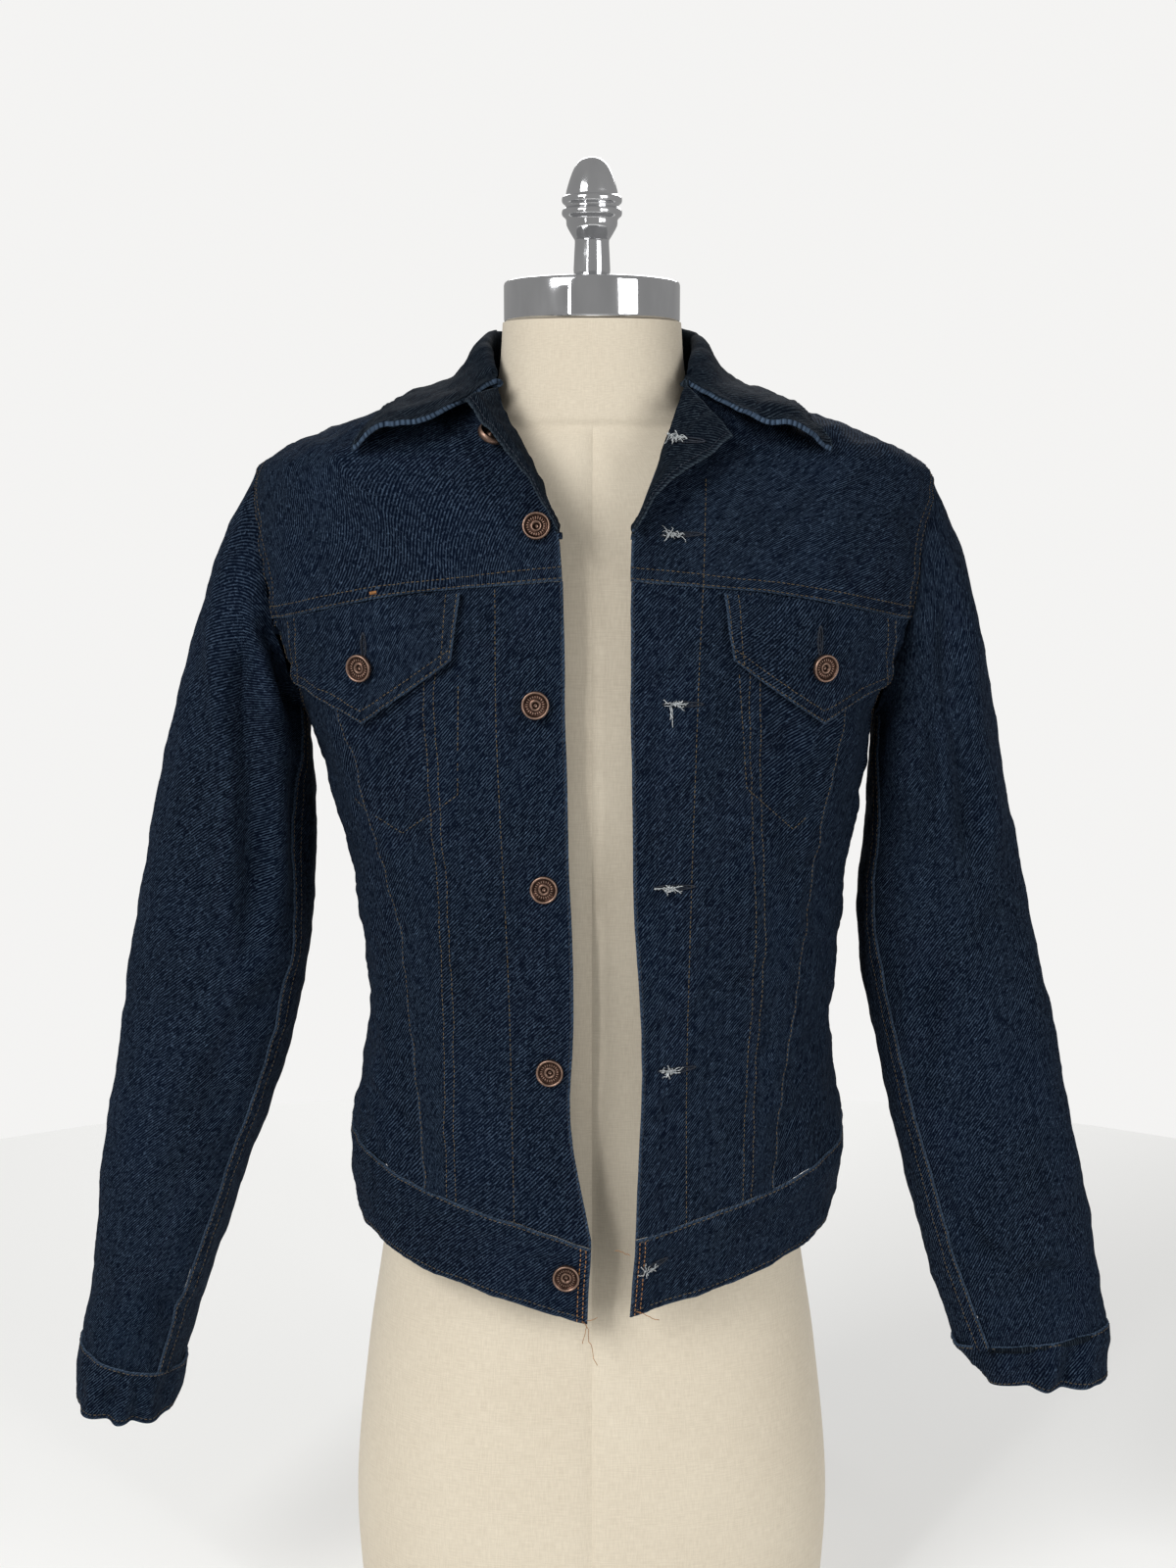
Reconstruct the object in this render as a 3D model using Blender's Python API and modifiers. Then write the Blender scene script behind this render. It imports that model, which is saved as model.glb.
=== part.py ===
"""Denim jacket worn open on a limbless linen dress form.

Metres, +Z up, the wearer faces -Y and the wearer's left is +X. The origin is the
middle of the form's flat underside. Each piece that is cut and sewn is one solid.
"""

import math

import bpy
from mathutils import Vector

# ---------------------------------------------------------------- driving dimensions

CLOTH = 0.0018            # one layer of 14 oz denim
DOUBLE_CLOTH = 0.0030     # collar, flaps, lapels, cuffs and waistband are two layers
SEAM_EASE = 0.0003        # each edge stands back this far from its seam
SLEEVE_EASE = 0.0009      # and on the sleeves, whose walls turn more sharply
SLEEVE_GAP = 0.0026       # sleeve head to armhole edge
FLAP_LIFT = 0.0040        # flap's outer face over the panel
SQUARENESS = 0.07         # how much fuller than an ellipse a body section is

TACK_RADIUS = 0.0085
TACK_HEIGHT = 0.0040
TACK_SEAT = 0.0012        # the tack's back stands this far off the cloth
NECK_TACK_SEAT = 0.0030   # and the one under the lapel, whose cloth bends away
CUFF_TACK_RADIUS = 0.0075

NECK_CAP_RADIUS = 0.0562
NECK_CAP_BOTTOM = 0.8780
NECK_CAP_TOP = 0.9040

# Rings of the jacket's outer face, from hem to neckline. A ring's height is given at
# centre front, side and centre back.
RING_COLUMNS = ("front_z", "side_z", "back_z", "half_width", "front_depth", "back_depth", "lean")
JACKET_RINGS = {
    "hem":           (0.2590, 0.3040, 0.3020, 0.1560, 0.1290, 0.1160, 0.0020),
    "band_middle":   (0.2830, 0.3320, 0.3300, 0.1620, 0.1310, 0.1170, 0.0030),
    "band_seam":     (0.3085, 0.3610, 0.3590, 0.1625, 0.1320, 0.1150, 0.0045),
    "low_waist":     (0.3600, 0.3980, 0.4000, 0.1570, 0.1300, 0.1090, 0.0045),
    "waist":         (0.4250, 0.4420, 0.4450, 0.1525, 0.1290, 0.1030, 0.0055),
    "ribs":          (0.4950, 0.5020, 0.5050, 0.1580, 0.1310, 0.1060, 0.0060),
    "chest_low":     (0.5500, 0.5520, 0.5550, 0.1660, 0.1320, 0.1120, 0.0040),
    "chest":         (0.6000, 0.6000, 0.6050, 0.1750, 0.1320, 0.1180, 0.0020),
    "armpit":        (0.6420, 0.6360, 0.6450, 0.1860, 0.1310, 0.1220, 0.0000),
    "armhole_low":   (0.6720, 0.6620, 0.6750, 0.1980, 0.1290, 0.1250, 0.0000),
    "armhole_mid":   (0.7120, 0.7000, 0.7150, 0.2150, 0.1250, 0.1260, 0.0000),
    "armhole_high":  (0.7520, 0.7450, 0.7600, 0.2180, 0.1180, 0.1240, 0.0000),
    "shoulder_edge": (0.7850, 0.7870, 0.8000, 0.2140, 0.1040, 0.1140, 0.0000),
    "shoulder_mid":  (0.8060, 0.8120, 0.8330, 0.1650, 0.0890, 0.0990, 0.0000),
    "shoulder_in":   (0.8180, 0.8260, 0.8480, 0.1150, 0.0780, 0.0850, 0.0000),
    "neckline":      (0.8250, 0.8380, 0.8570, 0.0780, 0.0730, 0.0760, 0.0000),
}
FORM_RINGS = {
    "base":          (0.0000, 0.0000, 0.0000, 0.1540, 0.1060, 0.1120, 0.0000),
    "hip":           (0.1000, 0.1000, 0.1000, 0.1600, 0.1100, 0.1200, 0.0000),
    "high_hip":      (0.2000, 0.2000, 0.2000, 0.1510, 0.1080, 0.1100, 0.0000),
    "under_waist":   (0.2900, 0.2900, 0.2900, 0.1380, 0.1020, 0.0960, 0.0000),
    "waist":         (0.3900, 0.3900, 0.3900, 0.1310, 0.1000, 0.0880, 0.0000),
    "ribs":          (0.4900, 0.4900, 0.4900, 0.1380, 0.1060, 0.0900, 0.0000),
    "chest":         (0.5900, 0.5900, 0.5900, 0.1540, 0.1120, 0.1000, 0.0000),
    "armpit":        (0.6600, 0.6600, 0.6600, 0.1700, 0.1090, 0.1060, 0.0000),
    "shoulder_low":  (0.7200, 0.7150, 0.7200, 0.1800, 0.1010, 0.1060, 0.0000),
    "shoulder_high": (0.7520, 0.7550, 0.7650, 0.1760, 0.0880, 0.0950, 0.0000),
    "shoulder_top":  (0.7750, 0.7820, 0.7950, 0.1500, 0.0760, 0.0830, 0.0000),
    "shoulder_in":   (0.7930, 0.8020, 0.8180, 0.1050, 0.0670, 0.0700, 0.0000),
    "neck_base":     (0.8120, 0.8200, 0.8360, 0.0680, 0.0600, 0.0610, 0.0000),
    "neck_low":      (0.8300, 0.8350, 0.8460, 0.0615, 0.0570, 0.0580, 0.0000),
    "neck":          (0.8550, 0.8550, 0.8580, 0.0585, 0.0550, 0.0560, 0.0000),
    "neck_top":      (0.8775, 0.8775, 0.8775, 0.0570, 0.0545, 0.0545, 0.0000),
}

# Seam lines of the front: distance out from the centre line, and height.
SEAM_COLUMNS = ("x", "z")
YOKE_SEAM = ((0.020, 0.7190), (0.065, 0.7155), (0.110, 0.7110), (0.150, 0.7035), (0.198, 0.6920))
INNER_V_SEAM = ((0.102, 0.7200), (0.102, 0.6400), (0.1005, 0.5100), (0.0985, 0.4400), (0.0955, 0.3380))
OUTER_V_SEAM = (
    (0.1600, 0.7100), (0.1560, 0.6400), (0.1480, 0.6050), (0.1370, 0.5570),
    (0.1255, 0.4970), (0.1180, 0.4300), (0.1130, 0.3900), (0.1090, 0.3440),
)
# Front edges, from the neck point down to the waistband. The left one meanders more.
FRONT_EDGE = {
    -1: ((0.057, 0.8315), (0.053, 0.8200), (0.041, 0.7960), (0.026, 0.7670), (0.019, 0.7400),
         (0.016, 0.6580), (0.018, 0.5400), (0.017, 0.4500), (0.018, 0.3880), (0.005, 0.3150)),
    1: ((0.057, 0.8315), (0.050, 0.8160), (0.040, 0.7900), (0.030, 0.7640), (0.023, 0.7400),
        (0.023, 0.6580), (0.021, 0.5700), (0.020, 0.5100), (0.025, 0.4200), (0.022, 0.3150)),
}
# Back seams: angle from centre back in degrees at the yoke seam and at the waistband.
BACK_YOKE_RISE = 0.15      # how far the seam arches up at the centre, in rings
BACK_V_ANGLES = (50.0, 30.0)

# Armhole: heights of its top and bottom at the side, and its reach round the body.
ARMHOLE_TOP = 0.787
ARMHOLE_BOTTOM = 0.623
ARMHOLE_REACH = math.radians(26.0)
ARMHOLE_YOKE_TURN = math.radians(99.5)

# Sleeve sections from armhole to cuff. x is the distance out, width lies in the arm's
# plane and depth along Y, tilt lifts the outer side.
SLEEVE_COLUMNS = ("x", "y", "z", "half_width", "half_depth", "tilt")
SLEEVE_SECTIONS = {
    -1: (
        (0.2130, 0.000, 0.6820, 0.0600, 0.0680, 63.0),
        (0.2240, 0.000, 0.6300, 0.0500, 0.0690, 37.0),
        (0.2320, -0.002, 0.5720, 0.0525, 0.0660, 18.0),
        (0.2415, -0.006, 0.4980, 0.0575, 0.0570, 9.0),
        (0.2555, -0.012, 0.4180, 0.0555, 0.0510, 8.0),
        (0.2735, -0.018, 0.3440, 0.0490, 0.0480, 10.0),
        (0.2915, -0.022, 0.2700, 0.0400, 0.0460, 12.0),
        (0.3060, -0.024, 0.2080, 0.0345, 0.0430, 15.0),
    ),
    1: (
        (0.2120, 0.000, 0.6780, 0.0590, 0.0680, 62.0),
        (0.2200, 0.000, 0.6250, 0.0465, 0.0690, 36.0),
        (0.2260, -0.002, 0.5670, 0.0470, 0.0670, 16.0),
        (0.2310, -0.006, 0.5000, 0.0560, 0.0590, 7.0),
        (0.2460, -0.012, 0.4210, 0.0590, 0.0500, 5.0),
        (0.2625, -0.018, 0.3430, 0.0580, 0.0420, 5.0),
        (0.2780, -0.022, 0.2760, 0.0560, 0.0350, 5.0),
        (0.2930, -0.024, 0.2190, 0.0510, 0.0300, 7.0),
    ),
}
CUFF_SECTIONS = {
    -1: (
        (0.3065, -0.024, 0.2050, 0.0360, 0.0445, 15.0),
        (0.3095, -0.024, 0.1860, 0.0350, 0.0440, 13.0),
        (0.3125, -0.024, 0.1660, 0.0320, 0.0420, 8.0),
    ),
    1: (
        (0.2935, -0.024, 0.2160, 0.0525, 0.0310, 7.0),
        (0.2990, -0.024, 0.2000, 0.0480, 0.0300, 4.0),
        (0.3050, -0.024, 0.1830, 0.0410, 0.0280, 0.0),
    ),
}
# Turns round the sleeve, in degrees from its outer side over the front, where the
# narrow under sleeve is sewn in: at the armhole and at the cuff.
FRONT_SLEEVE_SEAM = (166.0, 124.0)
BACK_SLEEVE_SEAM = (244.0, 232.0)

# Pocket flap corners: distance out and height.
FLAP_TOP = ((0.078, 0.7120), (0.120, 0.7080), (0.184, 0.6960))
FLAP_BOTTOM = ((0.083, 0.6720), (0.138, 0.6320), (0.182, 0.6560))
FLAP_TACK = (0.1375, 0.6670)

# Free edges of the two lapels, from the corner down: distance out, Y and height.
LAPEL_EDGE = {
    -1: ((0.0770, -0.0940, 0.8250), (0.0610, -0.1130, 0.8060), (0.0390, -0.1270, 0.7790),
         (0.0235, -0.1330, 0.7540), (0.0200, -0.1320, 0.7440)),
    1: ((0.0840, -0.1080, 0.8040), (0.0690, -0.1190, 0.7920), (0.0450, -0.1290, 0.7770),
        (0.0320, -0.1330, 0.7600), (0.0250, -0.1310, 0.7440)),
}
LAPEL_FOOT = 0.7440

# Collar: angle round the neck, radius and height of its fold, then the ring angle and
# ring number where its outer edge lies.
COLLAR_COLUMNS = ("angle", "fold_x", "fold_y", "fold_z", "edge_angle", "edge_ring")
COLLAR = (
    (47.0, 0.0570, -0.0550, 0.8370, 41.0, 12.22),
    (62.0, 0.0630, -0.0380, 0.8470, 51.0, 13.12),
    (76.0, 0.0665, -0.0180, 0.8570, 69.0, 13.70),
    (92.0, 0.0675, 0.0040, 0.8650, 90.0, 13.98),
    (115.0, 0.0620, 0.0320, 0.8720, 115.0, 13.85),
    (145.0, 0.0390, 0.0590, 0.8760, 146.0, 13.55),
    (180.0, 0.0000, 0.0690, 0.8770, 180.0, 13.40),
)
COLLAR_LIFT = 0.0055      # collar leaf over the shoulders
LEAF_HOLLOW = 0.0130      # how far the leaf dips below a straight fall, onto the shoulders
LEAF_BOW = 0.0340         # how far the leaf's front edge bows forward
LEAF_BOW_END = 2.2        # the bow has died away at this row of the table
NECK_EDGE_GAP = 0.0010    # collar stand over the neckline

# Tack buttons down the wearer's right front: distance out and height.
FRONT_TACKS = ((0.0330, 0.7510), (0.0335, 0.6460), (0.0335, 0.5350), (0.0310, 0.4210), (0.0190, 0.2920))

CUFF_TACK_TURN = 262.0    # degrees round the cuff, at its back

# Chrome finial: radius and height down its outer side, from the tip.
FINIAL_PROFILE = (
    (0.0000, 0.9810), (0.0060, 0.9800), (0.0105, 0.9755), (0.0135, 0.9690), (0.0160, 0.9610),
    (0.0168, 0.9575), (0.0189, 0.9560), (0.0189, 0.9530), (0.0170, 0.9512), (0.0170, 0.9498),
    (0.0189, 0.9480), (0.0189, 0.9450), (0.0165, 0.9425), (0.0160, 0.9385), (0.0130, 0.9330),
    (0.0112, 0.9300), (0.0109, 0.9275), (0.0109, 0.9043), (0.0000, 0.9043),
)

# ---------------------------------------------------------------- small helpers


def glide(rows, place):
    """Values at a place in a table, smooth between its rows: 0 is the first row."""
    last = len(rows) - 1
    place = min(max(place, 0.0), last - 1e-9)
    index = int(place)
    f = place - index
    here = rows[index]
    after = rows[index + 1]
    before = rows[index - 1] if index else [2 * p - q for p, q in zip(here, after)]
    beyond = rows[index + 2] if index + 2 <= last else [2 * q - p for p, q in zip(here, after)]
    values = []
    for p0, p1, p2, p3 in zip(before, here, after, beyond):
        pull_in = 0.5 * (p2 - p0)
        pull_out = 0.5 * (p3 - p1)
        bend = 3 * (p2 - p1) - 2 * pull_in - pull_out
        twist = 2 * (p1 - p2) + pull_in + pull_out
        values.append(p1 + f * (pull_in + f * (bend + f * twist)))
    return values


def solve(function, low, high):
    """Where a rising function crosses zero."""
    for _ in range(36):
        middle = 0.5 * (low + high)
        if function(middle) < 0:
            low = middle
        else:
            high = middle
    return 0.5 * (low + high)


def fullness(angle):
    return 1 + SQUARENESS * math.sin(2 * angle) ** 2


def ring_point(rings, angle, place):
    """A point of a ringed body: the angle turns from centre front to the wearer's left."""
    front_z, side_z, back_z, half_width, front, back, lean = glide(rings, place)
    sine, cosine = math.sin(angle), math.cos(angle)
    full = fullness(angle)
    if cosine > 0:
        depth = front
        z = front_z + (side_z - front_z) * abs(sine)
    else:
        depth = back
        z = side_z + (back_z - side_z) * cosine * cosine
    return Vector((lean + half_width * sine * full, -depth * cosine * full, z))


RINGS = tuple(JACKET_RINGS.values())
RING_NUMBER = {name: number for number, name in enumerate(JACKET_RINGS)}
NECKLINE = RING_NUMBER["neckline"]
SHOULDER_EDGE = RING_NUMBER["shoulder_edge"]
BAND_SEAM = RING_NUMBER["band_seam"]
QUARTER = math.pi / 2


def jacket_point(angle, place, out=0.0):
    """A point of the jacket's body, moved out along the cloth's normal."""
    point = ring_point(RINGS, angle, place)
    if not out:
        return point
    step = 1e-3
    round_body = ring_point(RINGS, angle + step, place) - ring_point(RINGS, angle - step, place)
    up = ring_point(RINGS, angle, place + step) - ring_point(RINGS, angle, place - step)
    return point + out * round_body.cross(up).normalized()


def on_front(side, x, z):
    """(angle, place) of the front point at this distance out from the centre line."""
    angle = 0.3
    for _ in range(8):
        place = solve(lambda t: ring_point(RINGS, angle, t).z - z, 0.0, NECKLINE)
        half_width = glide(RINGS, place)[RING_COLUMNS.index("half_width")]
        angle = solve(lambda a: half_width * math.sin(a) * fullness(a) - x, 0.0, QUARTER)
    return side * angle, place


def armhole(side, turn):
    """(angle, place) on the armhole: turn 0 is the shoulder, a quarter turn the front."""
    height = 0.5 * (ARMHOLE_TOP + ARMHOLE_BOTTOM + (ARMHOLE_TOP - ARMHOLE_BOTTOM) * math.cos(turn))
    place = solve(lambda t: glide(RINGS, t)[RING_COLUMNS.index("side_z")] - height, 0.0, NECKLINE)
    return side * (QUARTER - ARMHOLE_REACH * math.sin(turn)), place


def arc(function, start, end, count=12):
    return [function(start + (end - start) * i / count) for i in range(count + 1)]


def smooth_line(points, count=5):
    """A table's points with more put smoothly between them."""
    places = [i / count for i in range((len(points) - 1) * count + 1)]
    return [tuple(glide(points, place)) for place in places]


def share_out(line, count):
    """The line cut into equal stretches, measured along the cloth."""
    spots = [jacket_point(*spot) for spot in line]
    reach = [0.0]
    for first, second in zip(spots, spots[1:]):
        reach.append(reach[-1] + (second - first).length)
    shared = []
    index = 0
    for step in range(count + 1):
        goal = reach[-1] * step / count
        while index < len(line) - 2 and reach[index + 1] < goal:
            index += 1
        span = reach[index + 1] - reach[index]
        f = (goal - reach[index]) / span if span else 0.0
        shared.append([p + f * (q - p) for p, q in zip(line[index], line[index + 1])])
    return shared


def panel(bottom, top, left, right, columns, rows):
    """Grid of body points between four seam lines, left and right as worn seen from outside."""
    low, high = share_out(bottom, columns), share_out(top, columns)
    near, far = share_out(left, rows), share_out(right, rows)
    grid = []
    for j in range(rows + 1):
        v = j / rows
        line = []
        for i in range(columns + 1):
            u = i / columns
            spot = []
            for k in range(2):
                across = (1 - u) * near[j][k] + u * far[j][k]
                along = (1 - v) * low[i][k] + v * high[i][k]
                corners = (1 - v) * ((1 - u) * low[0][k] + u * low[-1][k])
                corners += v * ((1 - u) * high[0][k] + u * high[-1][k])
                spot.append(across + along - corners)
            line.append(spot)
        grid.append(line)
    return grid


def lifted(grid, out=0.0):
    return [[jacket_point(angle, place, out) for angle, place in line] for line in grid]


def eased(grid, by=SEAM_EASE):
    """The grid with its four edges drawn back from their seams."""
    rows, columns = len(grid), len(grid[0])
    for line in grid:
        line[0] = line[0] + by * (line[1] - line[0]).normalized()
        line[-1] = line[-1] + by * (line[-2] - line[-1]).normalized()
    for i in range(columns):
        grid[0][i] = grid[0][i] + by * (grid[1][i] - grid[0][i]).normalized()
        grid[rows - 1][i] = grid[rows - 1][i] + by * (grid[rows - 2][i] - grid[rows - 1][i]).normalized()
    return grid


def mirrored_order(grid, side):
    """On the wearer's right the columns run the other way, so that faces point out."""
    return grid if side > 0 else [line[::-1] for line in grid]


# ---------------------------------------------------------------- scene, materials, objects

for old in list(bpy.data.objects):
    bpy.data.objects.remove(old, do_unlink=True)

jacket_parts = bpy.data.collections.new("denim_jacket_on_form")
bpy.context.scene.collection.children.link(jacket_parts)


def material(name, colour, roughness, metallic=0.0):
    made = bpy.data.materials.new(name)
    made.use_nodes = True
    shader = made.node_tree.nodes["Principled BSDF"]
    shader.inputs["Base Color"].default_value = (*colour, 1.0)
    shader.inputs["Roughness"].default_value = roughness
    shader.inputs["Metallic"].default_value = metallic
    made.diffuse_color = (*colour, 1.0)
    return made


DENIM = material("raw_indigo_denim", (0.012, 0.024, 0.052), 0.85)
LINEN = material("form_linen", (0.72, 0.64, 0.50), 0.90)
CHROME = material("polished_chrome", (0.78, 0.78, 0.80), 0.12, 1.0)
COPPER = material("antique_copper", (0.22, 0.10, 0.06), 0.45, 1.0)


def object_from(name, points, faces, finish, smooth=True):
    mesh = bpy.data.meshes.new(name)
    mesh.from_pydata([tuple(point) for point in points], [], faces)
    mesh.materials.append(finish)
    if smooth:
        mesh.shade_smooth()
    made = bpy.data.objects.new(name, mesh)
    jacket_parts.objects.link(made)
    return made


def grid_faces(rows, columns, closed=False):
    faces = []
    for j in range(rows - 1):
        for i in range(columns if closed else columns - 1):
            right = (i + 1) % columns
            faces.append((j * columns + i, j * columns + right, (j + 1) * columns + right, (j + 1) * columns + i))
    return faces


def cloth(name, grid, thickness=CLOTH, closed=False, finish=DENIM):
    """A sheet of cloth: its outer face is the grid, and its thickness goes inward."""
    points = [point for line in grid for point in line]
    made = object_from(name, points, grid_faces(len(grid), len(grid[0]), closed), finish)
    shell = made.modifiers.new("thickness", "SOLIDIFY")
    shell.thickness = thickness
    shell.offset = -1.0
    shell.use_even_offset = False
    return made


def turned(name, profile, finish, steps=12):
    """A turned piece: the profile runs down the outer side, radius then height."""
    points = [(radius, 0.0, height) for radius, height in profile]
    mesh = bpy.data.meshes.new(name)
    mesh.from_pydata(points, [(i, i + 1) for i in range(len(points) - 1)], [])
    mesh.materials.append(finish)
    made = bpy.data.objects.new(name, mesh)
    jacket_parts.objects.link(made)
    spin = made.modifiers.new("turn", "SCREW")
    spin.steps = steps
    spin.render_steps = steps
    spin.use_merge_vertices = True
    spin.merge_threshold = 1e-5
    spin.use_smooth_shade = True
    return made


SIDE_NAME = {-1: "right", 1: "left"}

# ---------------------------------------------------------------- body panels

front_edge = {}
for side, table in FRONT_EDGE.items():
    front_edge[side] = [on_front(side, x, z) for x, z in smooth_line(table, 3)]


def front_line(side, table, count=4):
    return [on_front(side, x, z) for x, z in smooth_line(table, count)]


def split_at(line, place):
    """The two parts of a downward line at a ring place."""
    above = [spot for spot in line if spot[1] > place]
    below = [spot for spot in line if spot[1] <= place]
    first, second = above[-1], below[0]
    f = (first[1] - place) / (first[1] - second[1])
    cut = tuple(p + f * (q - p) for p, q in zip(first, second))
    return above + [cut], [cut] + below


def to_band(line):
    """A downward line, ended at the waistband seam."""
    above, _ = split_at(line + [(line[-1][0], line[-1][1] - 0.8)], BAND_SEAM)
    return above


def band_line(start, end, count=10):
    return [(start + (end - start) * i / count, float(BAND_SEAM)) for i in range(count + 1)]


def join_at(yoke, spot):
    """The yoke seam's point at this angle."""
    for first, second in zip(yoke, yoke[1:]):
        if abs(first[0]) <= abs(spot) <= abs(second[0]):
            f = (spot - first[0]) / (second[0] - first[0])
            return (spot, first[1] + f * (second[1] - first[1]))
    return yoke[-1]


def stretch_of(yoke, start, end):
    """The yoke seam between two angles."""
    low, high = sorted((abs(start), abs(end)))
    inner = [spot for spot in yoke if low + 1e-6 < abs(spot[0]) < high - 1e-6]
    return [join_at(yoke, start), *inner, join_at(yoke, end)]


def hung_from_yoke(line, yoke):
    """A downward seam line that starts exactly on the yoke seam."""
    top = join_at(yoke, line[0][0])
    below = [spot for spot in line if spot[1] < top[1] - 0.05]
    return to_band([top, *below])


for side in (-1, 1):
    name = SIDE_NAME[side]
    armhole_yoke = armhole(side, ARMHOLE_YOKE_TURN)
    yoke = front_line(side, YOKE_SEAM)[:-1] + [armhole_yoke]
    edge_at_yoke = next(spot for spot in front_edge[side] if spot[1] <= yoke[0][1])
    yoke[0] = (edge_at_yoke[0], yoke[0][1])
    edge_above, edge_below = split_at(front_edge[side], yoke[0][1])
    edge_below = to_band([yoke[0], *edge_below[1:]])
    inner_v = hung_from_yoke(front_line(side, INNER_V_SEAM), yoke)
    outer_v = hung_from_yoke(front_line(side, OUTER_V_SEAM), yoke)
    side_seam = [(side * QUARTER, armhole(side, math.pi)[1] * (1 - f) + BAND_SEAM * f) for f in arc(float, 0, 1)]

    neck_line = [(front_edge[side][0][0] * (1 - f) + side * QUARTER * f, float(NECKLINE)) for f in arc(float, 0, 1, 6)]
    shoulder_seam = [(side * QUARTER, NECKLINE + (SHOULDER_EDGE - NECKLINE) * f) for f in arc(float, 0, 1, 9)]
    upper_armhole = arc(lambda turn: armhole(side, turn), ARMHOLE_YOKE_TURN, 0.0)
    lower_armhole = arc(lambda turn: armhole(side, turn), ARMHOLE_YOKE_TURN, math.pi)

    shapes = {
        "front_yoke": (yoke, neck_line + shoulder_seam[1:], edge_above[::-1], upper_armhole, 10, 6),
        "front_centre": (band_line(edge_below[-1][0], inner_v[-1][0]), stretch_of(yoke, yoke[0][0], inner_v[0][0]),
                         edge_below[::-1], inner_v[::-1], 4, 13),
        "front_middle": (band_line(inner_v[-1][0], outer_v[-1][0]), stretch_of(yoke, inner_v[0][0], outer_v[0][0]),
                         inner_v[::-1], outer_v[::-1], 3, 13),
        "front_side": (band_line(outer_v[-1][0], side * QUARTER),
                       stretch_of(yoke, outer_v[0][0], yoke[-1][0]) + lower_armhole[1:],
                       outer_v[::-1], side_seam[::-1], 5, 13),
    }
    for piece, lines in shapes.items():
        grid = eased(lifted(panel(*lines)))
        cloth(f"{piece}_{name}", mirrored_order(grid, side))

# Back: one yoke, a centre panel and two side panels. Angles go on round from the left.
FULL_TURN = 2 * math.pi
back_turn = FULL_TURN - ARMHOLE_YOKE_TURN
armhole_back = armhole(1, back_turn)
yoke_end = armhole_back[0]
back_yoke_seam = [
    (math.pi + (math.pi - yoke_end) * f, armhole_back[1] + BACK_YOKE_RISE * (1 - f * f))
    for f in arc(float, -1, 1, 24)
]


def other_side(line):
    return [(FULL_TURN - angle, place) for angle, place in line[::-1]]


upper_armhole = arc(lambda turn: armhole(1, turn), back_turn, FULL_TURN)
half_neck = [(QUARTER + QUARTER * f, float(NECKLINE)) for f in arc(float, 0, 1, 8)]
half_top = [(QUARTER, SHOULDER_EDGE + (NECKLINE - SHOULDER_EDGE) * f) for f in arc(float, 0, 1, 9)] + half_neck[1:]
grid = panel(back_yoke_seam, half_top + other_side(half_top)[1:], upper_armhole,
             other_side(upper_armhole)[::-1], 18, 5)
cloth("back_yoke", eased(lifted(grid)))

v_top, v_foot = (math.pi - math.radians(angle) for angle in BACK_V_ANGLES)
v_start = join_at(back_yoke_seam, v_top)
back_v = [(v_top + (v_foot - v_top) * f, v_start[1] + (BAND_SEAM - v_start[1]) * f) for f in arc(float, 0, 1)]
grid = panel(band_line(v_foot, FULL_TURN - v_foot), stretch_of(back_yoke_seam, v_top, FULL_TURN - v_top),
             back_v[::-1], other_side(back_v), 8, 13)
cloth("back_centre", eased(lifted(grid)))

lower_armhole = arc(lambda turn: armhole(1, turn), math.pi, back_turn)
armpit = lower_armhole[0]
side_seam = [(QUARTER, BAND_SEAM + (armpit[1] - BAND_SEAM) * f) for f in arc(float, 0, 1)]
for side in (-1, 1):
    top = lower_armhole + stretch_of(back_yoke_seam, yoke_end, v_top)[1:]
    lines = [band_line(QUARTER, v_foot), top, side_seam, back_v[::-1]]
    turned_lines = [[(side * angle, place) for angle, place in line] for line in lines]
    grid = eased(lifted(panel(*turned_lines, 6, 13)))
    cloth(f"back_side_{SIDE_NAME[side]}", mirrored_order(grid, side))

# The waistband runs from the left front edge round the back to the right one.
band_start = front_edge[1][-1][0]
band_end = FULL_TURN + front_edge[-1][-1][0]
band = [[(band_start + (band_end - band_start) * i / 36, BAND_SEAM * j / 2) for i in range(37)] for j in range(3)]
cloth("waistband", eased(lifted(band), 0.0005), DOUBLE_CLOTH)

# ---------------------------------------------------------------- sleeves and cuffs


def section_point(side, section, turn):
    """A point of a tilted oval: turn 0 is the outer side, a quarter turn the front."""
    x, y, z, half_width, half_depth, tilt = section
    tilt = math.radians(tilt)
    across = half_width * math.cos(turn)
    return Vector((
        side * (x + across * math.cos(tilt)),
        y - half_depth * math.sin(turn),
        z + across * math.sin(tilt),
    ))


def sleeve_point(side, turn, place):
    """A point of the sleeve: place 0 is the armhole, then one for each section."""
    head = jacket_point(*armhole(side, turn)) + Vector((side * SLEEVE_GAP, 0.0, 0.0))
    rows = [head] + [section_point(side, section, turn) for section in SLEEVE_SECTIONS[side]]
    return Vector(glide(rows, place))


def sleeve_piece(name, side, first, last, columns, rows):
    """A sleeve piece between two seams, each given by its turn at armhole and cuff."""
    end = len(SLEEVE_SECTIONS[side])
    grid = []
    for j in range(rows + 1):
        f = 1 - j / rows
        start = math.radians(first[0] + (first[1] - first[0]) * f)
        stop = math.radians(last[0] + (last[1] - last[0]) * f)
        grid.append([sleeve_point(side, start + (stop - start) * i / columns, end * f) for i in range(columns + 1)])
    # The turn runs over the front, which is inward seen from outside on the left.
    return cloth(name, mirrored_order(eased(grid, SLEEVE_EASE), -side))


def whole_turns(seam):
    return tuple(angle - 360 for angle in seam)


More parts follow.
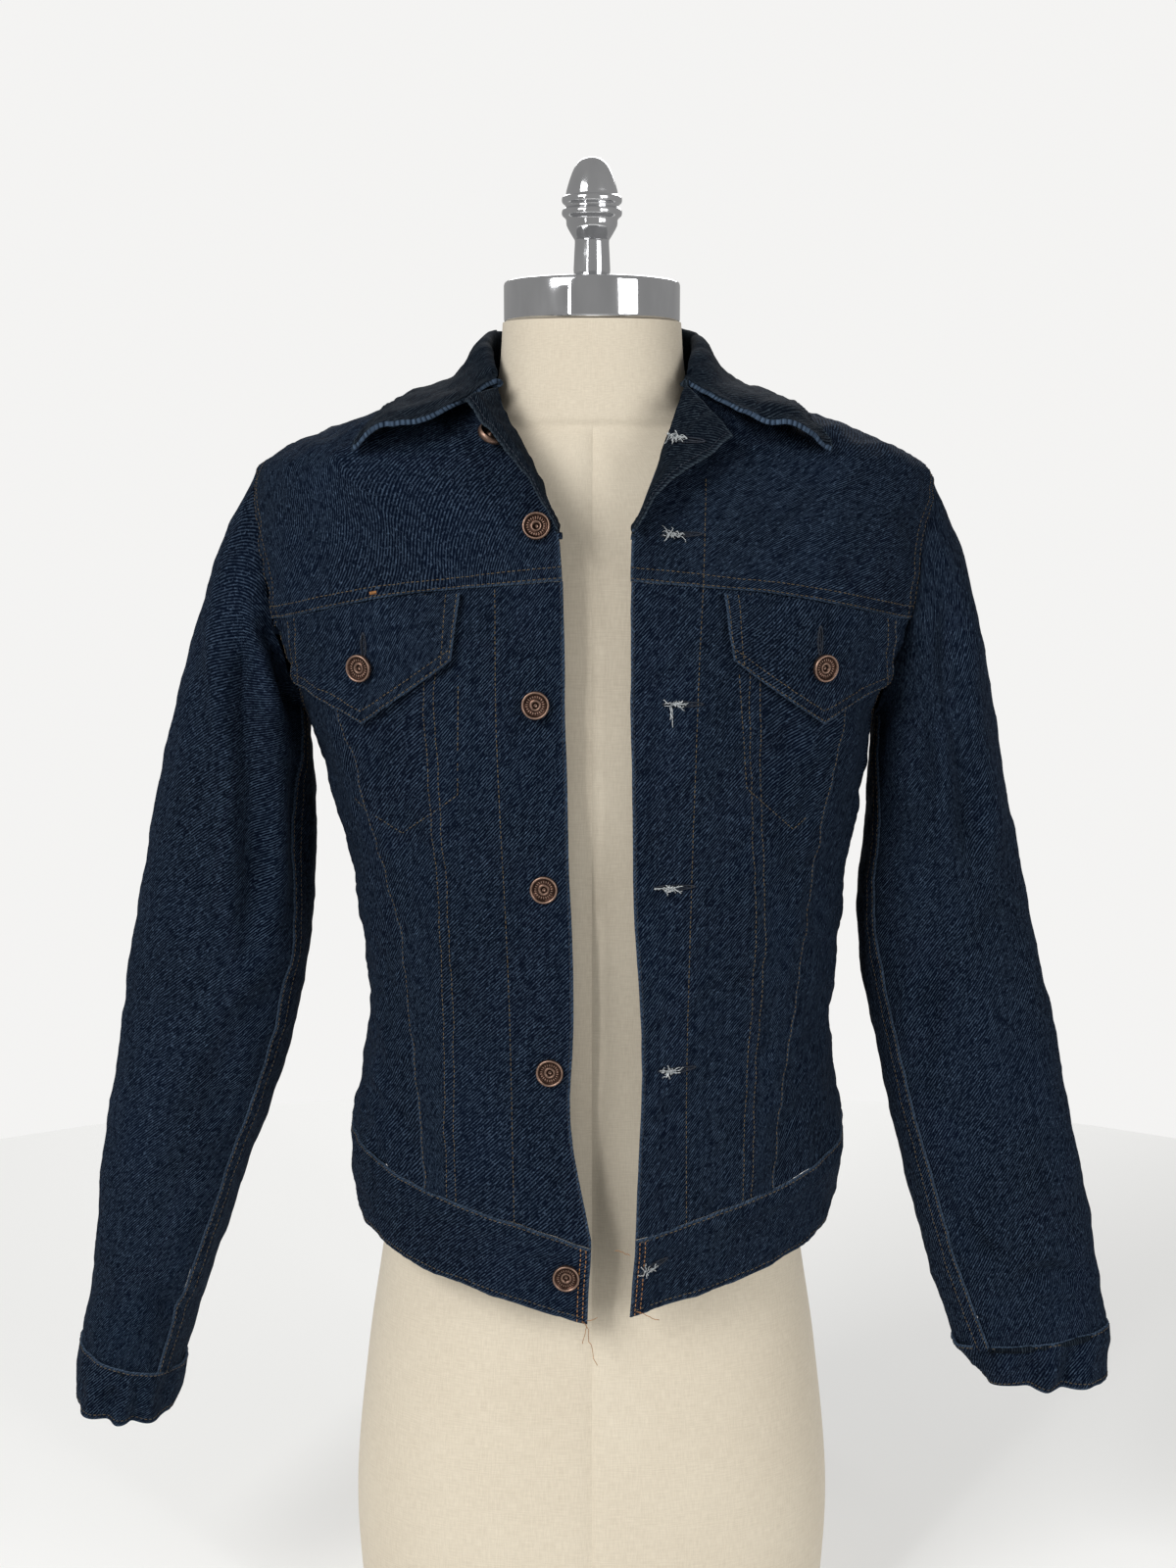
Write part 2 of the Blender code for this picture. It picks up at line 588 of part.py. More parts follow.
for side in (-1, 1):
    name = SIDE_NAME[side]
    sleeve_piece(f"upper_sleeve_{name}", side, whole_turns(BACK_SLEEVE_SEAM), FRONT_SLEEVE_SEAM, 15, 13)
    sleeve_piece(f"under_sleeve_{name}", side, FRONT_SLEEVE_SEAM, BACK_SLEEVE_SEAM, 5, 13)
    sections = CUFF_SECTIONS[side]
    grid = [[section_point(side, section, FULL_TURN * i / 20) for i in range(20)] for section in sections[::-1]]
    cloth(f"cuff_{name}", mirrored_order(grid, -side), DOUBLE_CLOTH, closed=True)

# ---------------------------------------------------------------- collar


def clear_of_shoulders(point, lift):
    """The point, raised where it would come within the lift of the shoulders below it."""
    angle = math.atan2(point.x, -point.y)

    def reach(place):
        ring = ring_point(RINGS, angle, place)
        return math.hypot(point.x, point.y) - math.hypot(ring.x, ring.y)

    if reach(NECKLINE) < 0:
        return point
    place = solve(reach, SHOULDER_EDGE, NECKLINE)
    return Vector((point.x, point.y, max(point.z, ring_point(RINGS, angle, place).z + lift)))


def collar_station(place):
    """Points across the collar: up the stand, over the fold and down the leaf."""
    angle, fold_x, fold_y, fold_z, edge_angle, edge_ring = glide(COLLAR, place)
    foot = jacket_point(math.radians(angle), NECKLINE) + Vector((0, 0, NECK_EDGE_GAP))
    fold = Vector((fold_x, fold_y, fold_z))
    edge = jacket_point(math.radians(edge_angle), edge_ring, COLLAR_LIFT)
    fall = (edge - fold).normalized()
    over = Vector((0, 0, 1))
    shoulder = fold + 0.0050 * fall + 0.0010 * over
    points = [foot, foot.lerp(fold, 0.5), fold, shoulder]
    bow = LEAF_BOW * max(0.0, 1 - place / LEAF_BOW_END) ** 2
    for f in (0.25, 0.50, 0.75):
        sag = 4 * f * (1 - f) * Vector((0.0, -bow, -LEAF_HOLLOW))
        points.append(clear_of_shoulders(shoulder.lerp(edge, f) + sag, COLLAR_LIFT))
    points.append(edge)
    return points


stations = [collar_station((len(COLLAR) - 1) * i / 10) for i in range(11)]
mirrored = [[Vector((-p.x, p.y, p.z)) for p in station] for station in stations[:-1]]
cloth("collar", mirrored_order([list(line) for line in zip(*(mirrored + stations[::-1]))], -1), DOUBLE_CLOTH)

# ---------------------------------------------------------------- tack buttons


def tack(name, spot, normal, radius=TACK_RADIUS):
    """A turned tack button: rolled rim, dished face and a small centre."""
    profile = (
        (0.0, TACK_HEIGHT * 0.70), (radius * 0.28, TACK_HEIGHT * 0.62), (radius * 0.70, TACK_HEIGHT * 0.72),
        (radius * 0.90, TACK_HEIGHT), (radius, TACK_HEIGHT * 0.62), (radius * 0.86, 0.0), (0.0, 0.0),
    )
    made = turned(name, profile, COPPER)
    made.rotation_mode = "QUATERNION"
    made.rotation_quaternion = normal.to_track_quat("Z", "Y")
    made.location = spot
    return made


# ---------------------------------------------------------------- lapels and flaps

for side in (-1, 1):
    fold = [spot for spot in front_edge[side] if jacket_point(*spot).z > LAPEL_FOOT]
    fold = [jacket_point(*spot, CLOTH + DOUBLE_CLOTH) for spot in share_out(fold, 8)]
    rows = []
    for j, start in enumerate(fold):
        x, y, z = glide(LAPEL_EDGE[side], (len(LAPEL_EDGE[side]) - 1) * j / 8)
        end = Vector((side * x, y, z))
        swell = Vector((0.0, -0.0030, 0.0015))
        rows.append([start.lerp(end, f) + 4 * f * (1 - f) * swell for f in (0, 0.33, 0.66, 1)])
    # Turned back on itself, its inner face shows.
    cloth(f"lapel_{SIDE_NAME[side]}", mirrored_order(rows[::-1], side), CLOTH)
    if side < 0:
        # The top tack is on the lapel's hidden face, towards the chest.
        seat, across, along = rows[2][2], rows[2][3] - rows[2][1], rows[3][2] - rows[1][2]
        facing = along.cross(across).normalized()
        tack("neck_tack", seat + (CLOTH + NECK_TACK_SEAT) * facing, facing)

for side in (-1, 1):
    top = front_line(side, FLAP_TOP)
    bottom = front_line(side, FLAP_BOTTOM[:2], 4)[:-1] + front_line(side, FLAP_BOTTOM[1:], 4)
    sides = [front_line(side, (low, high)) for low, high in zip((FLAP_BOTTOM[0], FLAP_BOTTOM[-1]), (FLAP_TOP[0], FLAP_TOP[-1]))]
    grid = lifted(panel(bottom, top, *sides, 8, 4), FLAP_LIFT)
    cloth(f"pocket_flap_{SIDE_NAME[side]}", mirrored_order(grid, side), DOUBLE_CLOTH)

# ---------------------------------------------------------------- tack buttons on fronts, flaps and cuffs

for number, (x, z) in enumerate(FRONT_TACKS, 1):
    spot = on_front(-1, x, z)
    normal = (jacket_point(*spot, 0.01) - jacket_point(*spot)).normalized()
    tack(f"front_tack_{number}", jacket_point(*spot, TACK_SEAT), normal)
for side in (-1, 1):
    spot = on_front(side, *FLAP_TACK)
    normal = (jacket_point(*spot, 0.01) - jacket_point(*spot)).normalized()
    tack(f"flap_tack_{SIDE_NAME[side]}", jacket_point(*spot, FLAP_LIFT + TACK_SEAT), normal)
    section = CUFF_SECTIONS[side][1]
    turn = math.radians(CUFF_TACK_TURN)
    spot, near = section_point(side, section, turn), section_point(side, section, turn + 0.01)
    ahead = (near - spot).normalized()
    down = (section_point(side, CUFF_SECTIONS[side][2], turn) - section_point(side, CUFF_SECTIONS[side][0], turn)).normalized()
    normal = side * ahead.cross(down)
    tack(f"cuff_tack_{SIDE_NAME[side]}", spot + TACK_SEAT * normal, normal, CUFF_TACK_RADIUS)

# ---------------------------------------------------------------- dress form

form_rings = tuple(FORM_RINGS.values())
steps, around = 2 * (len(form_rings) - 1), 24
points = []
for j in range(steps + 1):
    points += [ring_point(form_rings, FULL_TURN * i / around, 0.5 * j) for i in range(around)]
faces = grid_faces(steps + 1, around, closed=True)
faces.append(tuple(range(around))[::-1])
faces.append(tuple(range(steps * around, (steps + 1) * around)))
object_from("form_torso", points, faces, LINEN)

turned("form_neck_cap", (
    (0.0, NECK_CAP_TOP), (NECK_CAP_RADIUS - 0.003, NECK_CAP_TOP), (NECK_CAP_RADIUS - 0.0008, NECK_CAP_TOP - 0.001),
    (NECK_CAP_RADIUS, NECK_CAP_TOP - 0.003), (NECK_CAP_RADIUS, NECK_CAP_BOTTOM + 0.002),
    (NECK_CAP_RADIUS - 0.001, NECK_CAP_BOTTOM), (0.0, NECK_CAP_BOTTOM),
), CHROME, 32)
turned("form_finial", FINIAL_PROFILE, CHROME, 18)
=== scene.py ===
# %% [markdown]
# # A raw denim jacket on a dress form
#
# We dress a imported part in its real finish. The part already holds every panel of a
# trucker jacket as a plain solid; here each one becomes a thin sheet of denim with
# folded seams, rows of stitching, creases and tack buttons, on a linen form with a
# chrome cap. The first cell loads that part as a frame.

# %% Load the imported part
import math

import bpy
import numpy as np
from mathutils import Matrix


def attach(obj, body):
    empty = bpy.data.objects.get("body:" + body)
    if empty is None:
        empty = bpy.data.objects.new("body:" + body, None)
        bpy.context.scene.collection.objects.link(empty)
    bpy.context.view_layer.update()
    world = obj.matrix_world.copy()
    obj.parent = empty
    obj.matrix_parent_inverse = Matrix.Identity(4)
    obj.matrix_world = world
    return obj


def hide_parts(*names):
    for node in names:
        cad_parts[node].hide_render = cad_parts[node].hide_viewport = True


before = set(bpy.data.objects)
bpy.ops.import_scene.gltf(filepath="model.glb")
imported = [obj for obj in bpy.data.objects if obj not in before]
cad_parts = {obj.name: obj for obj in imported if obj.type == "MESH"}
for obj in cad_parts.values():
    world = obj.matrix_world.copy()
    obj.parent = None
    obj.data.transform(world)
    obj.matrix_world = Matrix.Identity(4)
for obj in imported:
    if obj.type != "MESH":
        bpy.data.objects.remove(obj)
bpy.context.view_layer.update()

# %% [markdown]
# ## The pattern
#
# The jacket's body is a stack of rings from hem to neckline, and its seams are short
# lists of points on the front. These are the cutter's measurements, in metres, so the
# sheets we sew here land exactly on the solids they stand for. x runs to the wearer's
# left, the wearer faces -y and z is up.

# %% Measurements of the jacket

CLOTH = 0.0018            # one layer of 14 oz denim
DOUBLE_CLOTH = 0.0030     # collar, flaps, lapels, cuffs and waistband are two layers
FLAP_LIFT = 0.0040        # flap's outer face over the panel
SQUARENESS = 0.07         # how much fuller than an ellipse a body section is

TACK_RADIUS = 0.0085
TACK_HEIGHT = 0.0040
TACK_SEAT = 0.0012        # the tack's back stands this far off the cloth
NECK_TACK_SEAT = 0.0030   # and the one under the lapel, whose cloth bends away
CUFF_TACK_RADIUS = 0.0075

NECK_CAP_RADIUS = 0.0562
NECK_CAP_BOTTOM = 0.8780
NECK_CAP_TOP = 0.9040

# Rings of the jacket's outer face, from hem to neckline. A ring's height is given at
# centre front, side and centre back.
# Columns: front_z, side_z, back_z, half_width, front_depth, back_depth, lean.
JACKET_RINGS = {
    "hem":           (0.2590, 0.3040, 0.3020, 0.1560, 0.1290, 0.1160, 0.0020),
    "band_middle":   (0.2830, 0.3320, 0.3300, 0.1620, 0.1310, 0.1170, 0.0030),
    "band_seam":     (0.3085, 0.3610, 0.3590, 0.1625, 0.1320, 0.1150, 0.0045),
    "low_waist":     (0.3600, 0.3980, 0.4000, 0.1570, 0.1300, 0.1090, 0.0045),
    "waist":         (0.4250, 0.4420, 0.4450, 0.1525, 0.1290, 0.1030, 0.0055),
    "ribs":          (0.4950, 0.5020, 0.5050, 0.1580, 0.1310, 0.1060, 0.0060),
    "chest_low":     (0.5500, 0.5520, 0.5550, 0.1660, 0.1320, 0.1120, 0.0040),
    "chest":         (0.6000, 0.6000, 0.6050, 0.1750, 0.1320, 0.1180, 0.0020),
    "armpit":        (0.6420, 0.6360, 0.6450, 0.1860, 0.1310, 0.1220, 0.0000),
    "armhole_low":   (0.6720, 0.6620, 0.6750, 0.1980, 0.1290, 0.1250, 0.0000),
    "armhole_mid":   (0.7120, 0.7000, 0.7150, 0.2150, 0.1250, 0.1260, 0.0000),
    "armhole_high":  (0.7520, 0.7450, 0.7600, 0.2180, 0.1180, 0.1240, 0.0000),
    "shoulder_edge": (0.7850, 0.7870, 0.8000, 0.2140, 0.1040, 0.1140, 0.0000),
    "shoulder_mid":  (0.8060, 0.8120, 0.8330, 0.1650, 0.0890, 0.0990, 0.0000),
    "shoulder_in":   (0.8180, 0.8260, 0.8480, 0.1150, 0.0780, 0.0850, 0.0000),
    "neckline":      (0.8250, 0.8380, 0.8570, 0.0780, 0.0730, 0.0760, 0.0000),
}
FORM_RINGS = {
    "base":          (0.0000, 0.0000, 0.0000, 0.1540, 0.1060, 0.1120, 0.0000),
    "hip":           (0.1000, 0.1000, 0.1000, 0.1600, 0.1100, 0.1200, 0.0000),
    "high_hip":      (0.2000, 0.2000, 0.2000, 0.1510, 0.1080, 0.1100, 0.0000),
    "under_waist":   (0.2900, 0.2900, 0.2900, 0.1380, 0.1020, 0.0960, 0.0000),
    "waist":         (0.3900, 0.3900, 0.3900, 0.1310, 0.1000, 0.0880, 0.0000),
    "ribs":          (0.4900, 0.4900, 0.4900, 0.1380, 0.1060, 0.0900, 0.0000),
    "chest":         (0.5900, 0.5900, 0.5900, 0.1540, 0.1120, 0.1000, 0.0000),
    "armpit":        (0.6600, 0.6600, 0.6600, 0.1700, 0.1090, 0.1060, 0.0000),
    "shoulder_low":  (0.7200, 0.7150, 0.7200, 0.1800, 0.1010, 0.1060, 0.0000),
    "shoulder_high": (0.7520, 0.7550, 0.7650, 0.1760, 0.0880, 0.0950, 0.0000),
    "shoulder_top":  (0.7750, 0.7820, 0.7950, 0.1500, 0.0760, 0.0830, 0.0000),
    "shoulder_in":   (0.7930, 0.8020, 0.8180, 0.1050, 0.0670, 0.0700, 0.0000),
    "neck_base":     (0.8120, 0.8200, 0.8360, 0.0680, 0.0600, 0.0610, 0.0000),
    "neck_low":      (0.8300, 0.8350, 0.8460, 0.0615, 0.0570, 0.0580, 0.0000),
    "neck":          (0.8550, 0.8550, 0.8580, 0.0585, 0.0550, 0.0560, 0.0000),
    "neck_top":      (0.8775, 0.8775, 0.8775, 0.0570, 0.0545, 0.0545, 0.0000),
}

# Seam lines of the front: distance out from the centre line, and height.
YOKE_SEAM = ((0.020, 0.7190), (0.065, 0.7155), (0.110, 0.7110), (0.150, 0.7035), (0.198, 0.6920))
INNER_V_SEAM = ((0.102, 0.7200), (0.102, 0.6400), (0.1005, 0.5100), (0.0985, 0.4400), (0.0955, 0.3380))
OUTER_V_SEAM = (
    (0.1600, 0.7100), (0.1560, 0.6400), (0.1480, 0.6050), (0.1370, 0.5570),
    (0.1255, 0.4970), (0.1180, 0.4300), (0.1130, 0.3900), (0.1090, 0.3440),
)
# Front edges, from the neck point down to the waistband. The left one meanders more.
FRONT_EDGE = {
    -1: ((0.057, 0.8315), (0.053, 0.8200), (0.041, 0.7960), (0.026, 0.7670), (0.019, 0.7400),
         (0.016, 0.6580), (0.018, 0.5400), (0.017, 0.4500), (0.018, 0.3880), (0.005, 0.3150)),
    1: ((0.057, 0.8315), (0.050, 0.8160), (0.040, 0.7900), (0.030, 0.7640), (0.023, 0.7400),
        (0.023, 0.6580), (0.021, 0.5700), (0.020, 0.5100), (0.025, 0.4200), (0.022, 0.3150)),
}
# Back seams: angle from centre back in degrees at the yoke seam and at the waistband.
BACK_YOKE_RISE = 0.15      # how far the seam arches up at the centre, in rings
BACK_V_ANGLES = (50.0, 30.0)

# Armhole: heights of its top and bottom at the side, and its reach round the body.
ARMHOLE_TOP = 0.787
ARMHOLE_BOTTOM = 0.623
ARMHOLE_REACH = math.radians(26.0)
ARMHOLE_YOKE_TURN = math.radians(99.5)

# Sleeve sections from armhole to cuff. x is the distance out, width lies in the arm's
# plane and depth along Y, tilt lifts the outer side.
# Columns: x, y, z, half_width, half_depth, tilt (degrees).
SLEEVE_SECTIONS = {
    -1: (
        (0.2130, 0.000, 0.6820, 0.0600, 0.0680, 63.0),
        (0.2240, 0.000, 0.6300, 0.0500, 0.0690, 37.0),
        (0.2320, -0.002, 0.5720, 0.0525, 0.0660, 18.0),
        (0.2415, -0.006, 0.4980, 0.0575, 0.0570, 9.0),
        (0.2555, -0.012, 0.4180, 0.0555, 0.0510, 8.0),
        (0.2735, -0.018, 0.3440, 0.0490, 0.0480, 10.0),
        (0.2915, -0.022, 0.2700, 0.0400, 0.0460, 12.0),
        (0.3060, -0.024, 0.2080, 0.0345, 0.0430, 15.0),
    ),
    1: (
        (0.2120, 0.000, 0.6780, 0.0590, 0.0680, 62.0),
        (0.2200, 0.000, 0.6250, 0.0465, 0.0690, 36.0),
        (0.2260, -0.002, 0.5670, 0.0470, 0.0670, 16.0),
        (0.2310, -0.006, 0.5000, 0.0560, 0.0590, 7.0),
        (0.2460, -0.012, 0.4210, 0.0590, 0.0500, 5.0),
        (0.2625, -0.018, 0.3430, 0.0580, 0.0420, 5.0),
        (0.2780, -0.022, 0.2760, 0.0560, 0.0350, 5.0),
        (0.2930, -0.024, 0.2190, 0.0510, 0.0300, 7.0),
    ),
}
CUFF_SECTIONS = {
    -1: (
        (0.3065, -0.024, 0.2050, 0.0360, 0.0445, 15.0),
        (0.3095, -0.024, 0.1860, 0.0350, 0.0440, 13.0),
        (0.3125, -0.024, 0.1660, 0.0320, 0.0420, 8.0),
    ),
    1: (
        (0.2935, -0.024, 0.2160, 0.0525, 0.0310, 7.0),
        (0.2990, -0.024, 0.2000, 0.0480, 0.0300, 4.0),
        (0.3050, -0.024, 0.1830, 0.0410, 0.0280, 0.0),
    ),
}
# Turns round the sleeve, in degrees from its outer side over the front, where the
# narrow under sleeve is sewn in: at the armhole and at the cuff.
FRONT_SLEEVE_SEAM = (166.0, 124.0)
BACK_SLEEVE_SEAM = (244.0, 232.0)

# Pocket flap corners: distance out and height.
FLAP_TOP = ((0.078, 0.7120), (0.120, 0.7080), (0.184, 0.6960))
FLAP_BOTTOM = ((0.083, 0.6720), (0.138, 0.6320), (0.182, 0.6560))
FLAP_TACK = (0.1375, 0.6670)

# Free edges of the two lapels, from the corner down: distance out, Y and height.
LAPEL_EDGE = {
    -1: ((0.0770, -0.0940, 0.8250), (0.0610, -0.1130, 0.8060), (0.0390, -0.1270, 0.7790),
         (0.0235, -0.1330, 0.7540), (0.0200, -0.1320, 0.7440)),
    1: ((0.0840, -0.1080, 0.8040), (0.0690, -0.1190, 0.7920), (0.0450, -0.1290, 0.7770),
        (0.0320, -0.1330, 0.7600), (0.0250, -0.1310, 0.7440)),
}
LAPEL_FOOT = 0.7440

# Collar: angle round the neck, the place of its fold, then the ring angle and ring
# number where its outer edge lies.
# Columns: angle, fold_x, fold_y, fold_z, edge_angle, edge_ring.
COLLAR = (
    (47.0, 0.0570, -0.0550, 0.8370, 41.0, 12.22),
    (62.0, 0.0630, -0.0380, 0.8470, 51.0, 13.12),
    (76.0, 0.0665, -0.0180, 0.8570, 69.0, 13.70),
    (92.0, 0.0675, 0.0040, 0.8650, 90.0, 13.98),
    (115.0, 0.0620, 0.0320, 0.8720, 115.0, 13.85),
    (145.0, 0.0390, 0.0590, 0.8760, 146.0, 13.55),
    (180.0, 0.0000, 0.0690, 0.8770, 180.0, 13.40),
)
COLLAR_LIFT = 0.0055      # collar leaf over the shoulders
LEAF_HOLLOW = 0.0130      # how far the leaf dips below a straight fall, onto the shoulders
LEAF_BOW = 0.0340         # how far the leaf's front edge bows forward
LEAF_BOW_END = 2.2        # the bow has died away at this row of the table
NECK_EDGE_GAP = 0.0010    # collar stand over the neckline

# Tack buttons down the wearer's right front: distance out and height.
FRONT_TACKS = ((0.0330, 0.7510), (0.0335, 0.6460), (0.0335, 0.5350), (0.0310, 0.4210), (0.0190, 0.2920))

CUFF_TACK_TURN = 262.0    # degrees round the cuff, at its back

# Chrome finial: radius and height down its outer side, from the tip.
FINIAL_PROFILE = (
    (0.0000, 0.9810), (0.0060, 0.9800), (0.0105, 0.9755), (0.0135, 0.9690), (0.0160, 0.9610),
    (0.0168, 0.9575), (0.0189, 0.9560), (0.0189, 0.9530), (0.0170, 0.9512), (0.0170, 0.9498),
    (0.0189, 0.9480), (0.0189, 0.9450), (0.0165, 0.9425), (0.0160, 0.9385), (0.0130, 0.9330),
    (0.0112, 0.9300), (0.0109, 0.9275), (0.0109, 0.9043), (0.0000, 0.9043),
)
SIDE_NAME = {-1: "right", 1: "left"}
RINGS = np.array(list(JACKET_RINGS.values()))
RING_NUMBER = {name: number for number, name in enumerate(JACKET_RINGS)}
NECKLINE = RING_NUMBER["neckline"]
SHOULDER_EDGE = RING_NUMBER["shoulder_edge"]
BAND_SEAM = RING_NUMBER["band_seam"]
HALF_WIDTH, SIDE_Z = 3, 1
QUARTER = math.pi / 2
FULL_TURN = 2 * math.pi
print(len(JACKET_RINGS), "rings,", len(COLLAR), "collar stations,", len(SLEEVE_SECTIONS[1]),
      "sections a sleeve")

# %% [markdown]
# ## Smooth tables
#
# A few measured rows have to become a smooth body. We glide between rows with a
# Catmull-Rom spline, which passes through every row, and we do it on whole arrays at
# once, because a sheet of cloth here has thousands of points.

# %% Glide between the rows of a table


def glide(rows, place):
    """Values at places in a table, smooth between its rows: 0 is the first row."""
    rows = np.asarray(rows, float)
    place = np.clip(np.asarray(place, float), 0.0, len(rows) - 1 - 1e-9)
    index = place.astype(int)
    f = (place - index)[..., None]
    padded = np.vstack([2 * rows[0] - rows[1], rows, 2 * rows[-1] - rows[-2]])
    p0, p1, p2, p3 = (padded[index + k] for k in range(4))
    pull_in = 0.5 * (p2 - p0)
    pull_out = 0.5 * (p3 - p1)
    bend = 3 * (p2 - p1) - 2 * pull_in - pull_out
    twist = 2 * (p1 - p2) + pull_in + pull_out
    return p1 + f * (pull_in + f * (bend + f * twist))


def smooth_line(points, count=6):
    """A short list of points, with more put smoothly between them."""
    return glide(points, np.linspace(0, len(points) - 1, (len(points) - 1) * count + 1))


def solve(function, low, high):
    """Where a rising function of an array crosses zero."""
    for _ in range(34):
        middle = 0.5 * (low + high)
        below = function(middle) < 0
        low = np.where(below, middle, low)
        high = np.where(below, high, middle)
    return 0.5 * (low + high)


def unit(vectors):
    return vectors / np.maximum(np.linalg.norm(vectors, axis=-1, keepdims=True), 1e-12)


def smooth_step(values):
    values = np.clip(values, 0.0, 1.0)
    return values * values * (3 - 2 * values)


# %% [markdown]
# ## The body as a surface
#
# Any spot on the body is an angle from centre front and a place in the stack of rings.
# We also need the way back: given a distance out from the centre line and a height,
# which spot is that? It has no tidy formula, so we close in on it by halving.

# %% Spots on the body


def fullness(angle):
    return 1 + SQUARENESS * np.sin(2 * angle) ** 2


def ring_point(rings, angle, place):
    """Points of a ringed body: the angle turns from centre front to the wearer's left."""
    front_z, side_z, back_z, half_width, front, back, lean = np.moveaxis(glide(rings, place), -1, 0)
    sine, cosine = np.sin(angle), np.cos(angle)
    full = fullness(angle)
    ahead = cosine > 0
    z_front = front_z + (side_z - front_z) * abs(sine)
    z_back = side_z + (back_z - side_z) * cosine * cosine
    x = lean + half_width * sine * full
    y = -np.where(ahead, front, back) * cosine * full
    return np.stack([x, y, np.where(ahead, z_front, z_back)], -1)


def body(spots, out=0.0):
    """Points of the jacket's body, moved out along its normal."""
    angle, place = spots[..., 0], spots[..., 1]
    step = 1e-3
    point = ring_point(RINGS, angle, place)
    if not out:
        return point
    around = ring_point(RINGS, angle + step, place) - ring_point(RINGS, angle - step, place)
    up = ring_point(RINGS, angle, place + step) - ring_point(RINGS, angle, place - step)
    return point + out * unit(np.cross(around, up))


def on_front(side, x, z):
    """Spots of the front at these distances out from the centre line and heights."""
    x, z = np.broadcast_arrays(np.asarray(x, float), np.asarray(z, float))
    angle = np.full(x.shape, 0.3)
    for _ in range(8):
        place = solve(lambda t: ring_point(RINGS, angle, t)[..., 2] - z, np.zeros(x.shape),
                      np.full(x.shape, float(NECKLINE)))
        half_width = glide(RINGS, place)[..., HALF_WIDTH]
        angle = solve(lambda a: half_width * np.sin(a) * fullness(a) - x, np.zeros(x.shape),
                      np.full(x.shape, QUARTER))
    return np.stack([side * angle, place], -1)


def front_line(side, table, count=6):
    return on_front(side, *smooth_line(table, count).T)


def armhole(side, turn):
    """Spots on the armhole: turn 0 is the shoulder, a quarter turn the front."""
    turn = np.asarray(turn, float)
    height = 0.5 * (ARMHOLE_TOP + ARMHOLE_BOTTOM + (ARMHOLE_TOP - ARMHOLE_BOTTOM) * np.cos(turn))
    place = solve(lambda t: glide(RINGS, t)[..., SIDE_Z] - height, np.zeros(turn.shape),
                  np.full(turn.shape, float(NECKLINE)))
    return np.stack([side * (QUARTER - ARMHOLE_REACH * np.sin(turn)), place], -1)


print("chest", round(float(body(np.array([QUARTER, 8.0]))[0]) * 200, 1), "cm across at the armpit")

# %% [markdown]
# ## Panels between seams
#
# A maker cuts each panel to its four seam lines. We do the same: blend the four lines
# into a grid (a Coons patch). The grid is packed closer near its edges, so that a
# folded edge can be rounded there.

# %% Cut a panel to its seams
EDGE_STEPS = (0.0, 0.0006, 0.0014, 0.0026)   # grid lines this far from each edge


def fractions(length, step):
    """Shares of a length, evenly spaced but packed closer at both ends."""
    ends = np.array(EDGE_STEPS) / length
    inner = np.linspace(ends[-1], 1 - ends[-1], max(2, round(length / step)) + 1)
    return np.concatenate([ends[:-1], inner, (1 - ends[:-1])[::-1]])


def reach_along(points):
    steps = np.linalg.norm(np.diff(points, axis=0), axis=-1)
    return np.concatenate([[0.0], np.cumsum(steps)])


def share_out(line, shares, place=body):
    """A line of spots cut at shares of its length along the cloth."""
    line = np.asarray(line, float)
    reach = reach_along(place(line))
    return np.stack([np.interp(shares * reach[-1], reach, line[:, k]) for k in range(line.shape[1])], -1)


def patch(low, high, near, far, u, v):
    """A grid blended from its four sides, already cut at the shares u and v."""
    u, v = u[None, :, None], v[:, None, None]
    across = (1 - u) * near[:, None] + u * far[:, None]
    along = (1 - v) * low[None] + v * high[None]
    corners = (1 - v) * ((1 - u) * low[0] + u * low[-1]) + v * ((1 - u) * high[0] + u * high[-1])
    return across + along - corners


def panel(bottom, top, left, right, step=0.0030):
    """Spots of the body between four seams, each given as a line of spots."""
    width = max(reach_along(body(np.asarray(line)))[-1] for line in (bottom, top))
    height = max(reach_along(body(np.asarray(line)))[-1] for line in (left, right))
    u, v = fractions(width, step), fractions(height, step)
    return patch(share_out(bottom, u), share_out(top, u), share_out(left, v), share_out(right, v), u, v)
